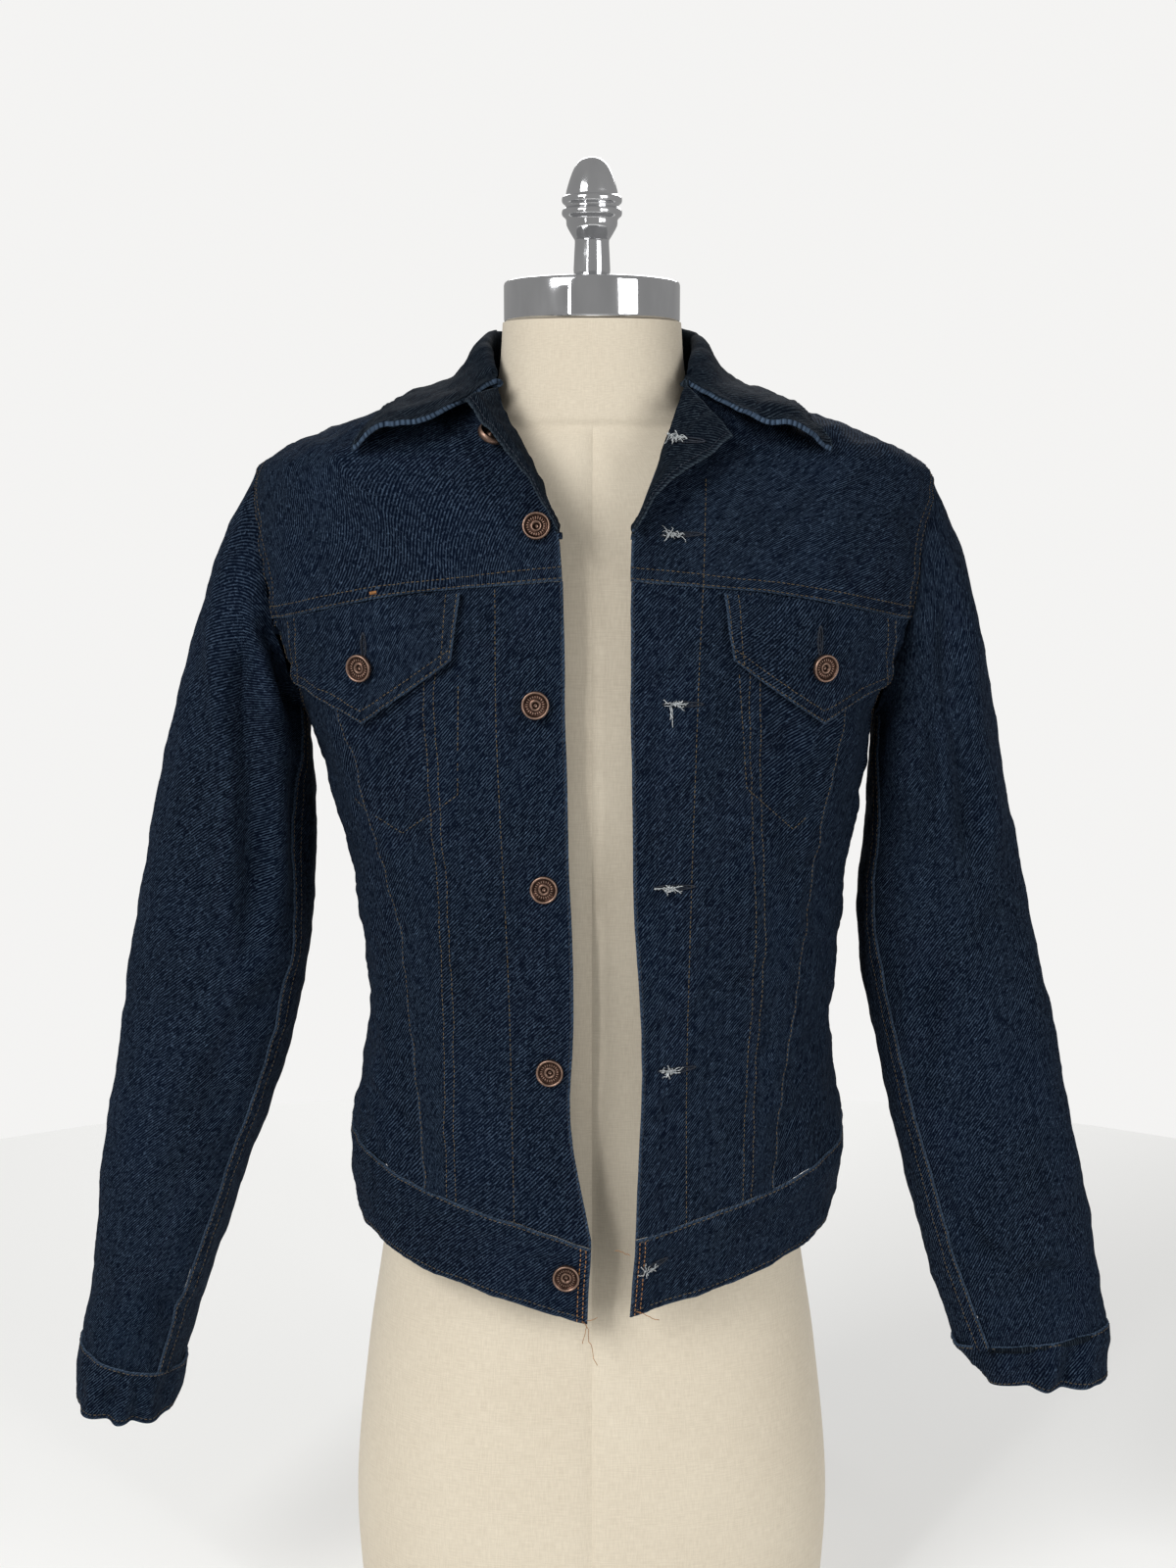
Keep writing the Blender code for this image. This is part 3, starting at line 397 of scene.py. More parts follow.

# %% [markdown]
# ## What makes cloth look like cloth
#
# Worn denim is stiff. It doesn't ripple like silk: it holds a few long, soft troughs
# with a low ridge beside each, and it buckles where it is sewn. We place the main
# creases as lines on the jacket with a width and a depth, and add a faint
# unevenness everywhere, the same on the back as on the front.

# %% Creases placed one by one
# Each crease: points from end to end (x, z), half width and depth. Ridges are negative.
FRONT_CREASES = (
    (((0.173, 0.645), (0.180, 0.620), (0.176, 0.585)), 0.008, 0.0030),
    (((0.111, 0.660), (0.122, 0.612)), 0.006, 0.0014),
    (((-0.122, 0.562), (-0.090, 0.552)), 0.005, 0.0013),
    (((-0.118, 0.548), (-0.086, 0.543)), 0.005, 0.0011),
    (((-0.168, 0.650), (-0.172, 0.615), (-0.160, 0.570)), 0.007, 0.0028),
    (((-0.062, 0.700), (-0.064, 0.600), (-0.060, 0.520)), 0.009, 0.0013),
    (((0.078, 0.700), (0.082, 0.620), (0.078, 0.560)), 0.009, 0.0012),
    (((-0.036, 0.690), (-0.040, 0.560), (-0.036, 0.440)), 0.010, 0.0014),
    (((0.036, 0.620), (0.040, 0.500), (0.036, 0.400)), 0.010, 0.0015),
    (((-0.080, 0.480), (-0.076, 0.400)), 0.010, 0.0014),
    (((0.076, 0.500), (0.072, 0.390)), 0.010, 0.0014),
    (((-0.138, 0.790), (-0.172, 0.762)), 0.012, 0.0016),
    (((0.120, 0.790), (0.160, 0.768)), 0.012, 0.0016),
    (((-0.110, 0.770), (-0.150, 0.745)), 0.012, 0.0012),
    (((-0.150, 0.420), (-0.118, 0.405)), 0.007, 0.0018),
    (((0.146, 0.430), (0.118, 0.412)), 0.007, 0.0018),
    (((-0.148, 0.395), (-0.112, 0.372)), 0.006, 0.0016),
    (((0.146, 0.395), (0.112, 0.376)), 0.006, 0.0016),
)
BACK_CREASES = (
    (((-0.160, 0.700), (-0.150, 0.640), (-0.120, 0.580)), 0.011, 0.0030),
    (((0.162, 0.705), (0.148, 0.640), (0.124, 0.590)), 0.011, 0.0030),
    (((-0.090, 0.460), (0.020, 0.448)), 0.010, 0.0020),
    (((-0.020, 0.428), (0.095, 0.440)), 0.010, 0.0022),
    (((-0.100, 0.408), (-0.010, 0.400)), 0.009, 0.0018),
    (((0.010, 0.392), (0.110, 0.398)), 0.009, 0.0016),
    (((-0.055, 0.660), (-0.060, 0.560)), 0.012, 0.0014),
    (((0.060, 0.650), (0.056, 0.540)), 0.012, 0.0014),
    (((-0.120, 0.770), (-0.060, 0.760)), 0.012, 0.0014),
    (((0.050, 0.762), (0.125, 0.772)), 0.012, 0.0014),
)
SLEEVE_FRONT_CREASES = {
    -1: (
        (((-0.224, 0.712), (-0.218, 0.652), (-0.214, 0.601), (-0.213, 0.566), (-0.215, 0.522),
          (-0.220, 0.480)), 0.0075, 0.0125),
        (((-0.210, 0.700), (-0.202, 0.683), (-0.192, 0.655), (-0.184, 0.620)), 0.0075, 0.0110),
        (((-0.188, 0.616), (-0.186, 0.560), (-0.190, 0.498)), 0.0080, 0.0090),
        (((-0.240, 0.560), (-0.246, 0.480), (-0.256, 0.420)), 0.012, 0.0026),
        (((-0.205, 0.455), (-0.232, 0.420), (-0.250, 0.370)), 0.009, 0.0045),
        (((-0.222, 0.392), (-0.246, 0.368)), 0.007, 0.0022),
        (((-0.262, 0.350), (-0.276, 0.300), (-0.286, 0.262)), 0.010, 0.0026),
        (((-0.300, 0.275), (-0.285, 0.256), (-0.268, 0.234)), 0.0055, 0.0055),
        (((-0.312, 0.240), (-0.296, 0.222)), 0.0045, 0.0020),
        (((-0.275, 0.262), (-0.262, 0.240)), 0.0050, 0.0020),
    ),
    1: (
        (((0.220, 0.712), (0.223, 0.642), (0.235, 0.583), (0.243, 0.531)), 0.0080, 0.0110),
        (((0.205, 0.676), (0.208, 0.620), (0.212, 0.570)), 0.0070, 0.0080),
        (((0.222, 0.470), (0.216, 0.440), (0.213, 0.412)), 0.0065, 0.0075),
        (((0.232, 0.506), (0.240, 0.464)), 0.0080, -0.0045),
        (((0.262, 0.520), (0.268, 0.460), (0.282, 0.400)), 0.011, 0.0028),
        (((0.222, 0.385), (0.246, 0.360), (0.262, 0.330)), 0.009, 0.0026),
        (((0.285, 0.380), (0.296, 0.330)), 0.009, 0.0022),
        (((0.243, 0.298), (0.252, 0.286), (0.263, 0.272)), 0.0060, 0.0070),
        (((0.275, 0.256), (0.286, 0.264), (0.300, 0.265), (0.326, 0.258)), 0.0055, 0.0058),
        (((0.262, 0.250), (0.276, 0.240)), 0.0055, 0.0024),
        (((0.300, 0.246), (0.322, 0.240)), 0.0050, 0.0020),
    ),
}
CUFF_CREASES = {
    -1: (
        (((-0.311, 0.196), (-0.323, 0.150)), 0.0060, 0.0060),
        (((-0.294, 0.196), (-0.304, 0.148)), 0.0055, 0.0056),
        (((-0.278, 0.200), (-0.286, 0.156)), 0.0050, 0.0048),
        (((-0.322, 0.196), (-0.336, 0.156)), 0.0045, -0.0026),
    ),
    1: (
        (((0.262, 0.212), (0.250, 0.176)), 0.0065, 0.0060),
        (((0.320, 0.214), (0.308, 0.176)), 0.0065, 0.0058),
        (((0.290, 0.210), (0.286, 0.172)), 0.0070, 0.0044),
        (((0.305, 0.208), (0.300, 0.174)), 0.0055, -0.0026),
    ),
}
SLEEVE_BACK_CREASES = {
    side: tuple(
        (tuple((side * x, z) for x, z in line), width, depth)
        for line, width, depth in (
            (((0.205, 0.700), (0.222, 0.650), (0.226, 0.590)), 0.010, 0.0036),
            (((0.188, 0.600), (0.215, 0.560), (0.240, 0.545)), 0.009, 0.0032),
            (((0.192, 0.520), (0.226, 0.500), (0.262, 0.496)), 0.009, 0.0030),
            (((0.200, 0.470), (0.240, 0.452), (0.275, 0.452)), 0.009, 0.0028),
            (((0.215, 0.420), (0.255, 0.398)), 0.009, 0.0024),
            (((0.300, 0.330), (0.262, 0.300)), 0.008, 0.0026),
            (((0.310, 0.275), (0.272, 0.250)), 0.007, 0.0026),
        )
    )
    for side in (-1, 1)
}
RIDGE_SHARE = 0.45        # height of the low ridge beside a trough, as a share of its depth
RIDGE_REACH = 2.1         # and how far away it runs, in half widths


def near_line(flat, line):
    """For each flat point: its distance to a drawn line, and how far along it is."""
    nearest = np.full(flat.shape[:-1], np.inf)
    along = np.zeros(flat.shape[:-1])
    travelled = 0.0
    for start, end in zip(np.asarray(line, float), np.asarray(line, float)[1:]):
        reach = end - start
        length = math.hypot(*reach)
        share = np.clip((flat - start) @ reach / length**2, 0, 1)
        distance = np.linalg.norm(flat - start - share[..., None] * reach, axis=-1)
        closer = distance < nearest
        nearest = np.where(closer, distance, nearest)
        along = np.where(closer, travelled + share * length, along)
        travelled += length
    return nearest, along / travelled


def crease(points, normals, creases, facing):
    """How far creases drawn on the front (facing -1) or back (+1) push the cloth out."""
    flat = points[..., [0, 2]]
    shown = smooth_step((facing * normals[..., 1] - 0.05) / 0.4)
    push = np.zeros(points.shape[:-1])
    for number, (line, width, depth) in enumerate(creases):
        distance, along = near_line(flat, smooth_line(line, 4))
        uneven = 0.8 + 0.2 * np.sin(9 * along + 2 * number)
        ends = smooth_step(along / 0.25) * smooth_step((1 - along) / 0.25)
        trough = np.exp(-((distance / width) ** 2))
        ridge = np.exp(-(((distance - RIDGE_REACH * width) / width) ** 2))
        push += depth * uneven * (0.25 + 0.75 * ends) * (RIDGE_SHARE * ridge - trough)
    return push * shown


# A faint unevenness: waves (x, y and z turns in a metre) and their heights.
UNEVEN_WAVES = (
    ((7, 4, 4), 0.0008), ((-6, 8, 7), 0.0007), ((17, -7, 6), 0.0006), ((24, 9, -11), 0.0005),
    ((-19, 12, 23), 0.0005),
    ((31, 12, 16), 0.00045), ((-27, 25, 37), 0.00040), ((46, -18, 33), 0.00034), ((-61, 44, 35), 0.00026),
    ((38, 52, -66), 0.00024),
    ((83, -41, 47), 0.00015), ((-72, 60, 91), 0.00013),
)


def uneven(points):
    push = np.zeros(points.shape[:-1])
    for number, (turns, height) in enumerate(UNEVEN_WAVES):
        push += height * np.sin(FULL_TURN * (points @ np.array(turns, float)) + 1.7 * number)
    return push


print(len(FRONT_CREASES) + len(BACK_CREASES), "creases on the body,",
      sum(map(len, SLEEVE_FRONT_CREASES.values())), "on the sleeve fronts")

# %% [markdown]
# ## From a grid to a sheet
#
# A sheet is a grid of points. Before it becomes a mesh we press in the creases, raise
# the laps where a folded edge lies over its neighbour, and let the cloth pucker beside
# its stitching. A Solidify modifier then gives it denim's thickness, going inward. Two
# UV maps go with it: Weave, in metres, for the twill, and Fold, which says how far each
# point is from a folded edge, for the pale rope marks that form there.

# %% Build a sheet of denim
LAP_RISE = 0.0013          # a folded edge lies this far over its neighbour
LAP_FLAT = 0.0100          # width of the flat felled seam
LAP_EASE = 0.0080
EDGE_ROUND = 0.0016        # the last of a fold is rounded over this distance
PUCKER_PITCH = 0.0085
PUCKER_HEIGHT = 0.00028
FAR = 1.0                  # Fold distance where there's no folded edge

sheets = {}


def across_from(grid, edge):
    """Distance in from one edge of a grid, along the cloth, at every point."""
    axis = 1 if edge in ("left", "right") else 0
    steps = np.linalg.norm(np.diff(grid, axis=axis), axis=-1)
    start = np.zeros_like(steps.take([0], axis))
    reach = np.concatenate([start, np.cumsum(steps, axis)], axis)
    return reach if edge in ("left", "bottom") else reach.take([-1], axis) - reach


def normals_of(grid, flip):
    return flip * unit(np.cross(np.gradient(grid, axis=1), np.gradient(grid, axis=0)))


def sewn(grid, flip, folds=(), puckers=(), creases=None, press=1.0, rise=LAP_RISE):
    """The grid with its unevenness, creases, laps and puckers pressed in."""
    normals = normals_of(grid, flip)
    push = press * uneven(grid)
    if creases:
        front, back = creases
        push += crease(grid, normals, front, -1) + crease(grid, normals, back, 1)
    for edge in folds:
        distance = across_from(grid, edge)
        push += rise * smooth_step(1 - (distance - LAP_FLAT) / LAP_EASE)
        push -= 0.6 * LAP_RISE * np.clip(1 - distance / EDGE_ROUND, 0, 1) ** 2
    for edge in puckers:
        distance = across_from(grid, edge)
        along = across_from(grid, "left" if edge in ("top", "bottom") else "bottom")
        turns = along / PUCKER_PITCH + 0.8 * np.sin(along / 0.021) + 0.5 * np.sin(along / 0.0093)
        push += PUCKER_HEIGHT * np.sin(FULL_TURN * turns) * np.exp(-(((distance - 0.006) / 0.009) ** 2))
    return grid + push[..., None] * normals


def mesh_from_grid(name, grid, flip, folds=()):
    """A mesh of quads with its Weave and Fold maps."""
    rows, columns = grid.shape[:2]
    corner = np.arange((rows - 1) * columns).reshape(rows - 1, columns)[:, :-1].ravel()
    faces = np.stack([corner, corner + 1, corner + columns + 1, corner + columns], -1)
    if flip < 0:
        faces = faces[:, ::-1]
    mesh = bpy.data.meshes.new(name)
    mesh.from_pydata(grid.reshape(-1, 3).tolist(), [], faces.tolist())
    mesh.shade_smooth()
    wide, high = across_from(grid, "left"), across_from(grid, "bottom")
    weave = np.stack([flip * wide.mean(0)[None, :] + 0 * high, high.mean(1)[:, None] + 0 * wide], -1)
    distance, along = np.full(wide.shape, FAR), high
    for edge in folds:
        inside = across_from(grid, edge)
        run = high if edge in ("left", "right") else wide
        along = np.where(inside < distance, run, along)
        distance = np.minimum(inside, distance)
    corners = np.empty(len(mesh.loops), int)
    mesh.loops.foreach_get("vertex_index", corners)
    for title, values in (("Weave", weave), ("Fold", np.stack([along, distance], -1))):
        layer = mesh.uv_layers.new(name=title)
        layer.data.foreach_set("uv", values.reshape(-1, 2)[corners].ravel())
    return mesh


def flat_size(grid):
    """Width, length and area of the cut, before it was creased."""
    wide = across_from(grid, "left")[:, -1].max()
    high = across_from(grid, "bottom")[-1].max()
    one, two = grid[1:, 1:] - grid[:-1, :-1], grid[1:, :-1] - grid[:-1, 1:]
    area = 0.5 * np.linalg.norm(np.cross(one, two), axis=-1).sum()
    return float(wide), float(high), float(area)


def place_object(name, mesh, *finishes):
    """An object that rides on the jacket, in these finishes."""
    for finish in finishes:
        mesh.materials.append(finish)
    made = bpy.data.objects.new(name, mesh)
    bpy.context.scene.collection.objects.link(made)
    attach(made, "root")
    return made


def add_sheet(name, grid, flip, folds=(), thickness=CLOTH, finishes=None, rests_on=(), held="hung", **sewing):
    """A named sheet of denim that stands for the solid of the same name."""
    shaped = sewn(grid, flip, folds, **sewing)
    made = place_object(name + "_cloth", mesh_from_grid(name, shaped, flip, folds),
                        *(finishes or (DENIM, DENIM_REVERSE)))
    shell = made.modifiers.new("thickness", "SOLIDIFY")
    shell.thickness = thickness
    shell.offset = -1.0
    shell.use_even_offset = False
    shell.material_offset = 1
    shell.material_offset_rim = 0
    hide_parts(name)
    width, length, area = flat_size(grid)
    cuts[name] = (made, width, length, area, held, rests_on)
    sheets[name] = {"grid": shaped, "normals": normals_of(shaped, flip), "flip": flip}
    return made


cuts = {}
print("a lap is", LAP_RISE * 1000, "mm high and", LAP_FLAT * 1000, "mm wide")

# %% [markdown]
# ## Raw indigo denim
#
# Denim is a right-hand twill: indigo warp threads with white weft showing between them
# in slanting lines. The Weave map is in metres, so the pattern is made at true scale:
# a slanted wave for the twill lines, broken up by noise, pale flecks of weft, uneven
# slubby warp threads, and a slow drift in the dye. On a folded edge the dye rubs off in
# short slanted marks, which the Fold map places. Everything also drives a fine bump.

# %% Nodes and the denim


class Finish:
    """A material whose nodes are added by short calls."""

    def __init__(self, name, roughness, metallic=0.0, colour=(0.5, 0.5, 0.5)):
        self.material = bpy.data.materials.new(name)
        self.material.use_nodes = True
        self.tree = self.material.node_tree
        self.shader = self.tree.nodes["Principled BSDF"]
        self.shader.inputs["Roughness"].default_value = roughness
        self.shader.inputs["Metallic"].default_value = metallic
        self.shader.inputs["Base Color"].default_value = (*colour, 1.0)
        self.material.diffuse_color = (*colour, 1.0)

    def add(self, kind, settings=None, **inputs):
        """A node; each input is a value or another node's output."""
        node = self.tree.nodes.new("ShaderNode" + kind)
        for key, value in (settings or {}).items():
            setattr(node, key, value)
        for key, value in inputs.items():
            socket = node.inputs[int(key[1:])] if key[0] == "i" and key[1:].isdigit() else node.inputs[
                    key.replace("_", " ")]
            if isinstance(value, bpy.types.NodeSocket):
                self.tree.links.new(value, socket)
            else:
                socket.default_value = value
        return node

    def maths(self, operation, first, second=0.0, clamp=False):
        return self.add("Math", {"operation": operation, "use_clamp": clamp}, i0=first, i1=second).outputs[0]

    def stretched(self, vector, scale, turn=0.0):
        made = self.add("Mapping", None, Vector=vector, Rotation=(0, 0, math.radians(turn)))
        return self.add("Mapping", None, Vector=made.outputs[0], Scale=scale).outputs[0]

    def noise(self, vector, detail=2.0, rough=0.5):
        return self.add("TexNoise", None, Vector=vector, Scale=1.0, Detail=detail, Roughness=rough).outputs[0]

    def ramp(self, value, *stops):
        made = self.add("ValToRGB", None, Fac=value)
        elements = made.color_ramp.elements
        while len(elements) < len(stops):
            elements.new(0.5)
        for element, (place, colour) in zip(elements, stops):
            element.position = place
            element.color = (*colour, 1.0) if hasattr(colour, "__len__") else (colour, colour, colour, 1.0)
        return made.outputs[0]

    def mix(self, share, first, second, blend="MIX"):
        return self.add("MixRGB", {"blend_type": blend}, i0=share, i1=first, i2=second).outputs[0]

    def bump(self, height, distance, strength=1.0):
        made = self.add("Bump", None, Height=height, Distance=distance, Strength=strength)
        self.tree.links.new(made.outputs[0], self.shader.inputs["Normal"])

    def colour(self, socket):
        self.tree.links.new(socket, self.shader.inputs["Base Color"])


TWILL_TURN = 42.0           # degrees that the twill lines lean from upright
TWILL_PITCH = 0.0015
ROPE_PITCH = 0.0034         # rope marks along a fold
WAVE_TURN = 0.314           # a wave texture of scale 1 repeats after this far


def denim(name, deep, pale, fleck_share, drift):
    made = Finish(name, 0.88)
    weave = made.add("UVMap", {"uv_map": "Weave"}).outputs[0]
    slant = made.stretched(weave, (1.0, 1.0, 1.0), TWILL_TURN)
    twill = made.add("TexWave", {"bands_direction": "X"}, Vector=slant, Scale=WAVE_TURN / TWILL_PITCH,
                     Distortion=0.5, Detail=2.0, Detail_Scale=2.2).outputs[1]
    broken = made.noise(made.stretched(weave, (760, 170, 1), TWILL_TURN), 2.0, 0.6)
    flecks = made.ramp(made.noise(made.stretched(weave, (1100, 420, 1), TWILL_TURN), 1.0), (0.61, 0.0),
                       (0.72, 1.0))
    slub = made.noise(made.stretched(weave, (620, 14, 1)), 2.0, 0.6)
    dye = made.noise(made.stretched(weave, (13, 9, 1)), 3.0, 0.55)
    lines = made.maths("MULTIPLY", made.ramp(twill, (0.42, 0.0), (0.92, 1.0)),
                       made.ramp(broken, (0.38, 0.1), (0.60, 1.0)))
    lines = made.maths("MULTIPLY", lines, made.ramp(slub, (0.30, 0.45), (0.70, 1.0)))
    fold = made.add("SeparateXYZ", None, Vector=made.add("UVMap", {"uv_map": "Fold"}).outputs[0]).outputs
    edge = made.maths("SUBTRACT", 1.0, made.maths("DIVIDE", fold[1], 0.0024), True)
    lean = made.maths("ADD", fold[0], made.maths("MULTIPLY", fold[1], 0.9))
    marks = made.maths("SINE", made.maths("MULTIPLY", lean, FULL_TURN / ROPE_PITCH))
    marks = made.maths("MULTIPLY_ADD", marks, 0.5)
    marks = made.ramp(made.maths("ADD", marks, made.maths("MULTIPLY", broken, 0.9)), (0.35, 0.15),
                      (0.85, 1.0))
    rubbed = made.maths("MULTIPLY", edge, marks)
    pale_share = made.maths("ADD", made.maths("MULTIPLY", lines, 0.72),
                            made.maths("MULTIPLY", flecks, fleck_share))
    pale_share = made.maths("ADD", pale_share, made.maths("MULTIPLY", rubbed, 0.62), True)
    dyed = made.ramp(dye, (0.30, tuple(c * (1 - drift) for c in deep)),
                     (0.70, tuple(c * (1 + drift) for c in deep)))
    made.colour(made.mix(pale_share, dyed, (*pale, 1.0)))
    height = made.maths("ADD", made.maths("MULTIPLY", twill, 0.5), made.maths("MULTIPLY", broken, 0.5))
    height = made.maths("ADD", height, made.maths("MULTIPLY", slub, 0.5))
    height = made.maths("ADD", height, made.maths("MULTIPLY", rubbed, 1.6))
    made.bump(height, 0.00028, 1.0)
    made.shader.inputs["Sheen Weight"].default_value = 0.012
    made.shader.inputs["Sheen Roughness"].default_value = 0.5
    made.shader.inputs["Sheen Tint"].default_value = (0.45, 0.60, 0.90, 1.0)
    made.shader.inputs["Specular IOR Level"].default_value = 0.02
    return made.material


DENIM = denim("raw_indigo_denim", (0.0009, 0.0026, 0.0080), (0.056, 0.086, 0.132), 0.52, 0.30)
DENIM_REVERSE = denim("denim_inner_face", (0.0016, 0.0032, 0.0065), (0.040, 0.055, 0.070), 0.40, 0.15)

# %% [markdown]
# ## Thread, linen, chrome and copper
#
# Tan cotton-core thread holds the seams, with a few rows in a brighter orange. The form
# is covered in unbleached linen, a plain weave of two crossed threads. Its cap and acorn
# are polished chrome, and the tack buttons are copper that has gone brown, brighter
# where it is rubbed.

# %% The other finishes


def thread(name, dark, light, roughness=0.75):
    made = Finish(name, roughness)
    place = made.add("TexCoord").outputs["Object"]
    twist = made.noise(made.stretched(place, (900, 900, 900)), 1.0)
    made.colour(made.ramp(twist, (0.30, dark), (0.70, light)))
    made.bump(twist, 0.0001, 0.5)
    return made.material


TAN_THREAD = thread("tan_thread", (0.034, 0.025, 0.013), (0.115, 0.080, 0.036))
ORANGE_THREAD = thread("orange_thread", (0.20, 0.085, 0.022), (0.42, 0.19, 0.06))
NAVY_THREAD = thread("navy_thread", (0.004, 0.007, 0.014), (0.012, 0.018, 0.032))
WHITE_THREAD = thread("frayed_weft", (0.22, 0.25, 0.27), (0.62, 0.64, 0.64))


def linen():
    made = Finish("form_linen", 0.92)
    weave = made.add("UVMap", {"uv_map": "Weave"}).outputs[0]
    warp = made.noise(made.stretched(weave, (1400, 120, 1)), 2.0)
    weft = made.noise(made.stretched(weave, (120, 1400, 1)), 2.0)
    cross = made.maths("MULTIPLY", made.maths("ADD", warp, weft), 0.5)
    soft = made.noise(made.stretched(weave, (10, 8, 1)), 3.0)
    threads = made.ramp(cross, (0.36, (0.51, 0.440, 0.340)), (0.64, (0.64, 0.570, 0.455)))
    made.colour(made.mix(0.35, threads,
                         made.ramp(soft, (0.3, (0.54, 0.475, 0.37)), (0.7, (0.65, 0.595, 0.48)))))
    made.bump(cross, 0.0002, 0.5)
    made.shader.inputs["Sheen Weight"].default_value = 0.1
    return made.material


def chrome():
    made = Finish("polished_chrome", 0.06, 1.0, (0.50, 0.505, 0.52))
    place = made.add("TexCoord").outputs["Object"]
    smears = made.noise(made.stretched(place, (60, 60, 18)), 3.0)
    made.tree.links.new(made.ramp(smears, (0.35, 0.035), (0.75, 0.16)), made.shader.inputs["Roughness"])
    made.colour(made.ramp(smears, (0.3, (0.62, 0.625, 0.64)), (0.7, (0.72, 0.725, 0.74))))
    made.bump(made.noise(made.stretched(place, (25, 25, 25)), 1.0), 0.0004, 0.12)
    return made.material


def copper():
    made = Finish("antique_copper", 0.42, 1.0)
    place = made.add("TexCoord").outputs["Object"]
    stain = made.noise(made.stretched(place, (420, 420, 420)), 3.0, 0.6)
    rub = made.add("NewGeometry").outputs["Pointiness"]
    aged = made.ramp(stain, (0.32, (0.010, 0.006, 0.005)), (0.66, (0.062, 0.033, 0.024)))
    made.colour(made.mix(made.ramp(rub, (0.49, 0.0), (0.56, 1.0)), aged, (0.26, 0.17, 0.13, 1.0)))
    made.tree.links.new(made.ramp(stain, (0.3, 0.55), (0.7, 0.32)), made.shader.inputs["Roughness"])
    made.bump(stain, 0.00015, 0.6)
    return made.material


LINEN, CHROME, COPPER = linen(), chrome(), copper()
print("made", len(bpy.data.materials), "materials")

# %% [markdown]
# ## The fronts
#
# Each front has a yoke over three panels, joined by two seams that slant inward to the
# waist. We rebuild the seam lines from their short tables, exactly as the part does, and
# cut the four panels between them. A folded edge is named for each panel: that is where
# one piece laps over the next.

# %% Seam lines and the front panels


def cut_at(line, place):
    """The parts of a downward line above and below a ring place."""
    index = int(np.argmax(line[:, 1] <= place))
    first, second = line[index - 1], line[index]
    cut = first + (first[1] - place) / (first[1] - second[1]) * (second - first)
    return np.vstack([line[:index], cut]), np.vstack([cut, line[index:]])


def to_band(line):
    return cut_at(np.vstack([line, line[-1] - (0.0, 0.8)]), BAND_SEAM)[0]


def band_line(start, end):
    return np.stack([np.linspace(start, end, 25), np.full(25, float(BAND_SEAM))], -1)


def straight(start, end, count=24):
    return np.linspace(start, end, count + 1)


def join_at(yoke, angle):
    order = np.argsort(abs(yoke[:, 0]))
    return np.array([angle, np.interp(abs(angle), abs(yoke[order, 0]), yoke[order, 1])])


def stretch_of(yoke, start, end):
    low, high = sorted((abs(start), abs(end)))
    inner = yoke[(abs(yoke[:, 0]) > low + 1e-6) & (abs(yoke[:, 0]) < high - 1e-6)]
    return np.vstack([join_at(yoke, start), inner, join_at(yoke, end)])


def hung_from_yoke(line, yoke):
    top = join_at(yoke, line[0, 0])
    return to_band(np.vstack([top, line[line[:, 1] < top[1] - 0.05]]))


TORSO_SOLID = "form_torso"
# Grid spacings: fine where the light shows every crease, coarser behind.
FRONT_STEP, BACK_YOKE_STEP, BACK_STEP = 0.0028, 0.0040, 0.0042
BAND_STEP, FLAP_STEP = 0.0030, 0.0024
front_edge = {side: front_line(side, table, 4) for side, table in FRONT_EDGE.items()}
armpit_place = float(armhole(1, math.pi)[1])
body_creases = (FRONT_CREASES, BACK_CREASES)
for side in (-1, 1):
    name = SIDE_NAME[side]
    yoke = np.vstack([front_line(side, YOKE_SEAM)[:-1], armhole(side, ARMHOLE_YOKE_TURN)])
    edge = front_edge[side]
    yoke[0, 0] = edge[edge[:, 1] <= yoke[0, 1]][0, 0]
    edge_above, edge_below = cut_at(edge, yoke[0, 1])
    edge_below = to_band(np.vstack([yoke[0], edge_below[1:]]))
    inner_v = hung_from_yoke(front_line(side, INNER_V_SEAM), yoke)
    outer_v = hung_from_yoke(front_line(side, OUTER_V_SEAM), yoke)
    side_seam = straight((side * QUARTER, armpit_place), (side * QUARTER, BAND_SEAM))
    neck_line = straight((edge[0, 0], NECKLINE), (side * QUARTER, NECKLINE), 8)
    shoulder_seam = straight((side * QUARTER, NECKLINE), (side * QUARTER, SHOULDER_EDGE))
    upper_armhole = armhole(side, np.linspace(ARMHOLE_YOKE_TURN, 0.0, 25))
    lower_armhole = armhole(side, np.linspace(ARMHOLE_YOKE_TURN, math.pi, 25))
    panels = (
        ("front_yoke", yoke, np.vstack([neck_line, shoulder_seam[1:]]), edge_above[::-1], upper_armhole,
         ("bottom", "left"), ("bottom", "left", "right")),
        ("front_centre", band_line(edge_below[-1, 0], inner_v[-1, 0]),
         stretch_of(yoke, yoke[0, 0], inner_v[0, 0]),
         edge_below[::-1], inner_v[::-1], ("left",), ("left", "top", "right")),
        ("front_middle", band_line(inner_v[-1, 0], outer_v[-1, 0]),
         stretch_of(yoke, inner_v[0, 0], outer_v[0, 0]),
         inner_v[::-1], outer_v[::-1], ("right",), ("right", "top", "left")),
        ("front_side", band_line(outer_v[-1, 0], side * QUARTER),
         np.vstack([stretch_of(yoke, outer_v[0, 0], yoke[-1, 0]), lower_armhole[1:]]),
         outer_v[::-1], side_seam[::-1], (), ("left", "top", "bottom")),
    )
    for piece, bottom, top, left, right, folds, puckers in panels:
        grid = body(panel(bottom, top, left, right, FRONT_STEP))
        add_sheet(f"{piece}_{name}", grid, side, folds, rests_on=(TORSO_SOLID,), creases=body_creases,
                  puckers=puckers, press=0.9)
print("fronts:", len(sheets), "panels")

# %% [markdown]
# ## The back and the waistband
#
# The back has one yoke, a centre panel and two side panels, with the same felled seams.
# The waistband is a doubled strip: it starts at one front edge and goes round the back
# to the other, so both its long edges and both its ends are folded.

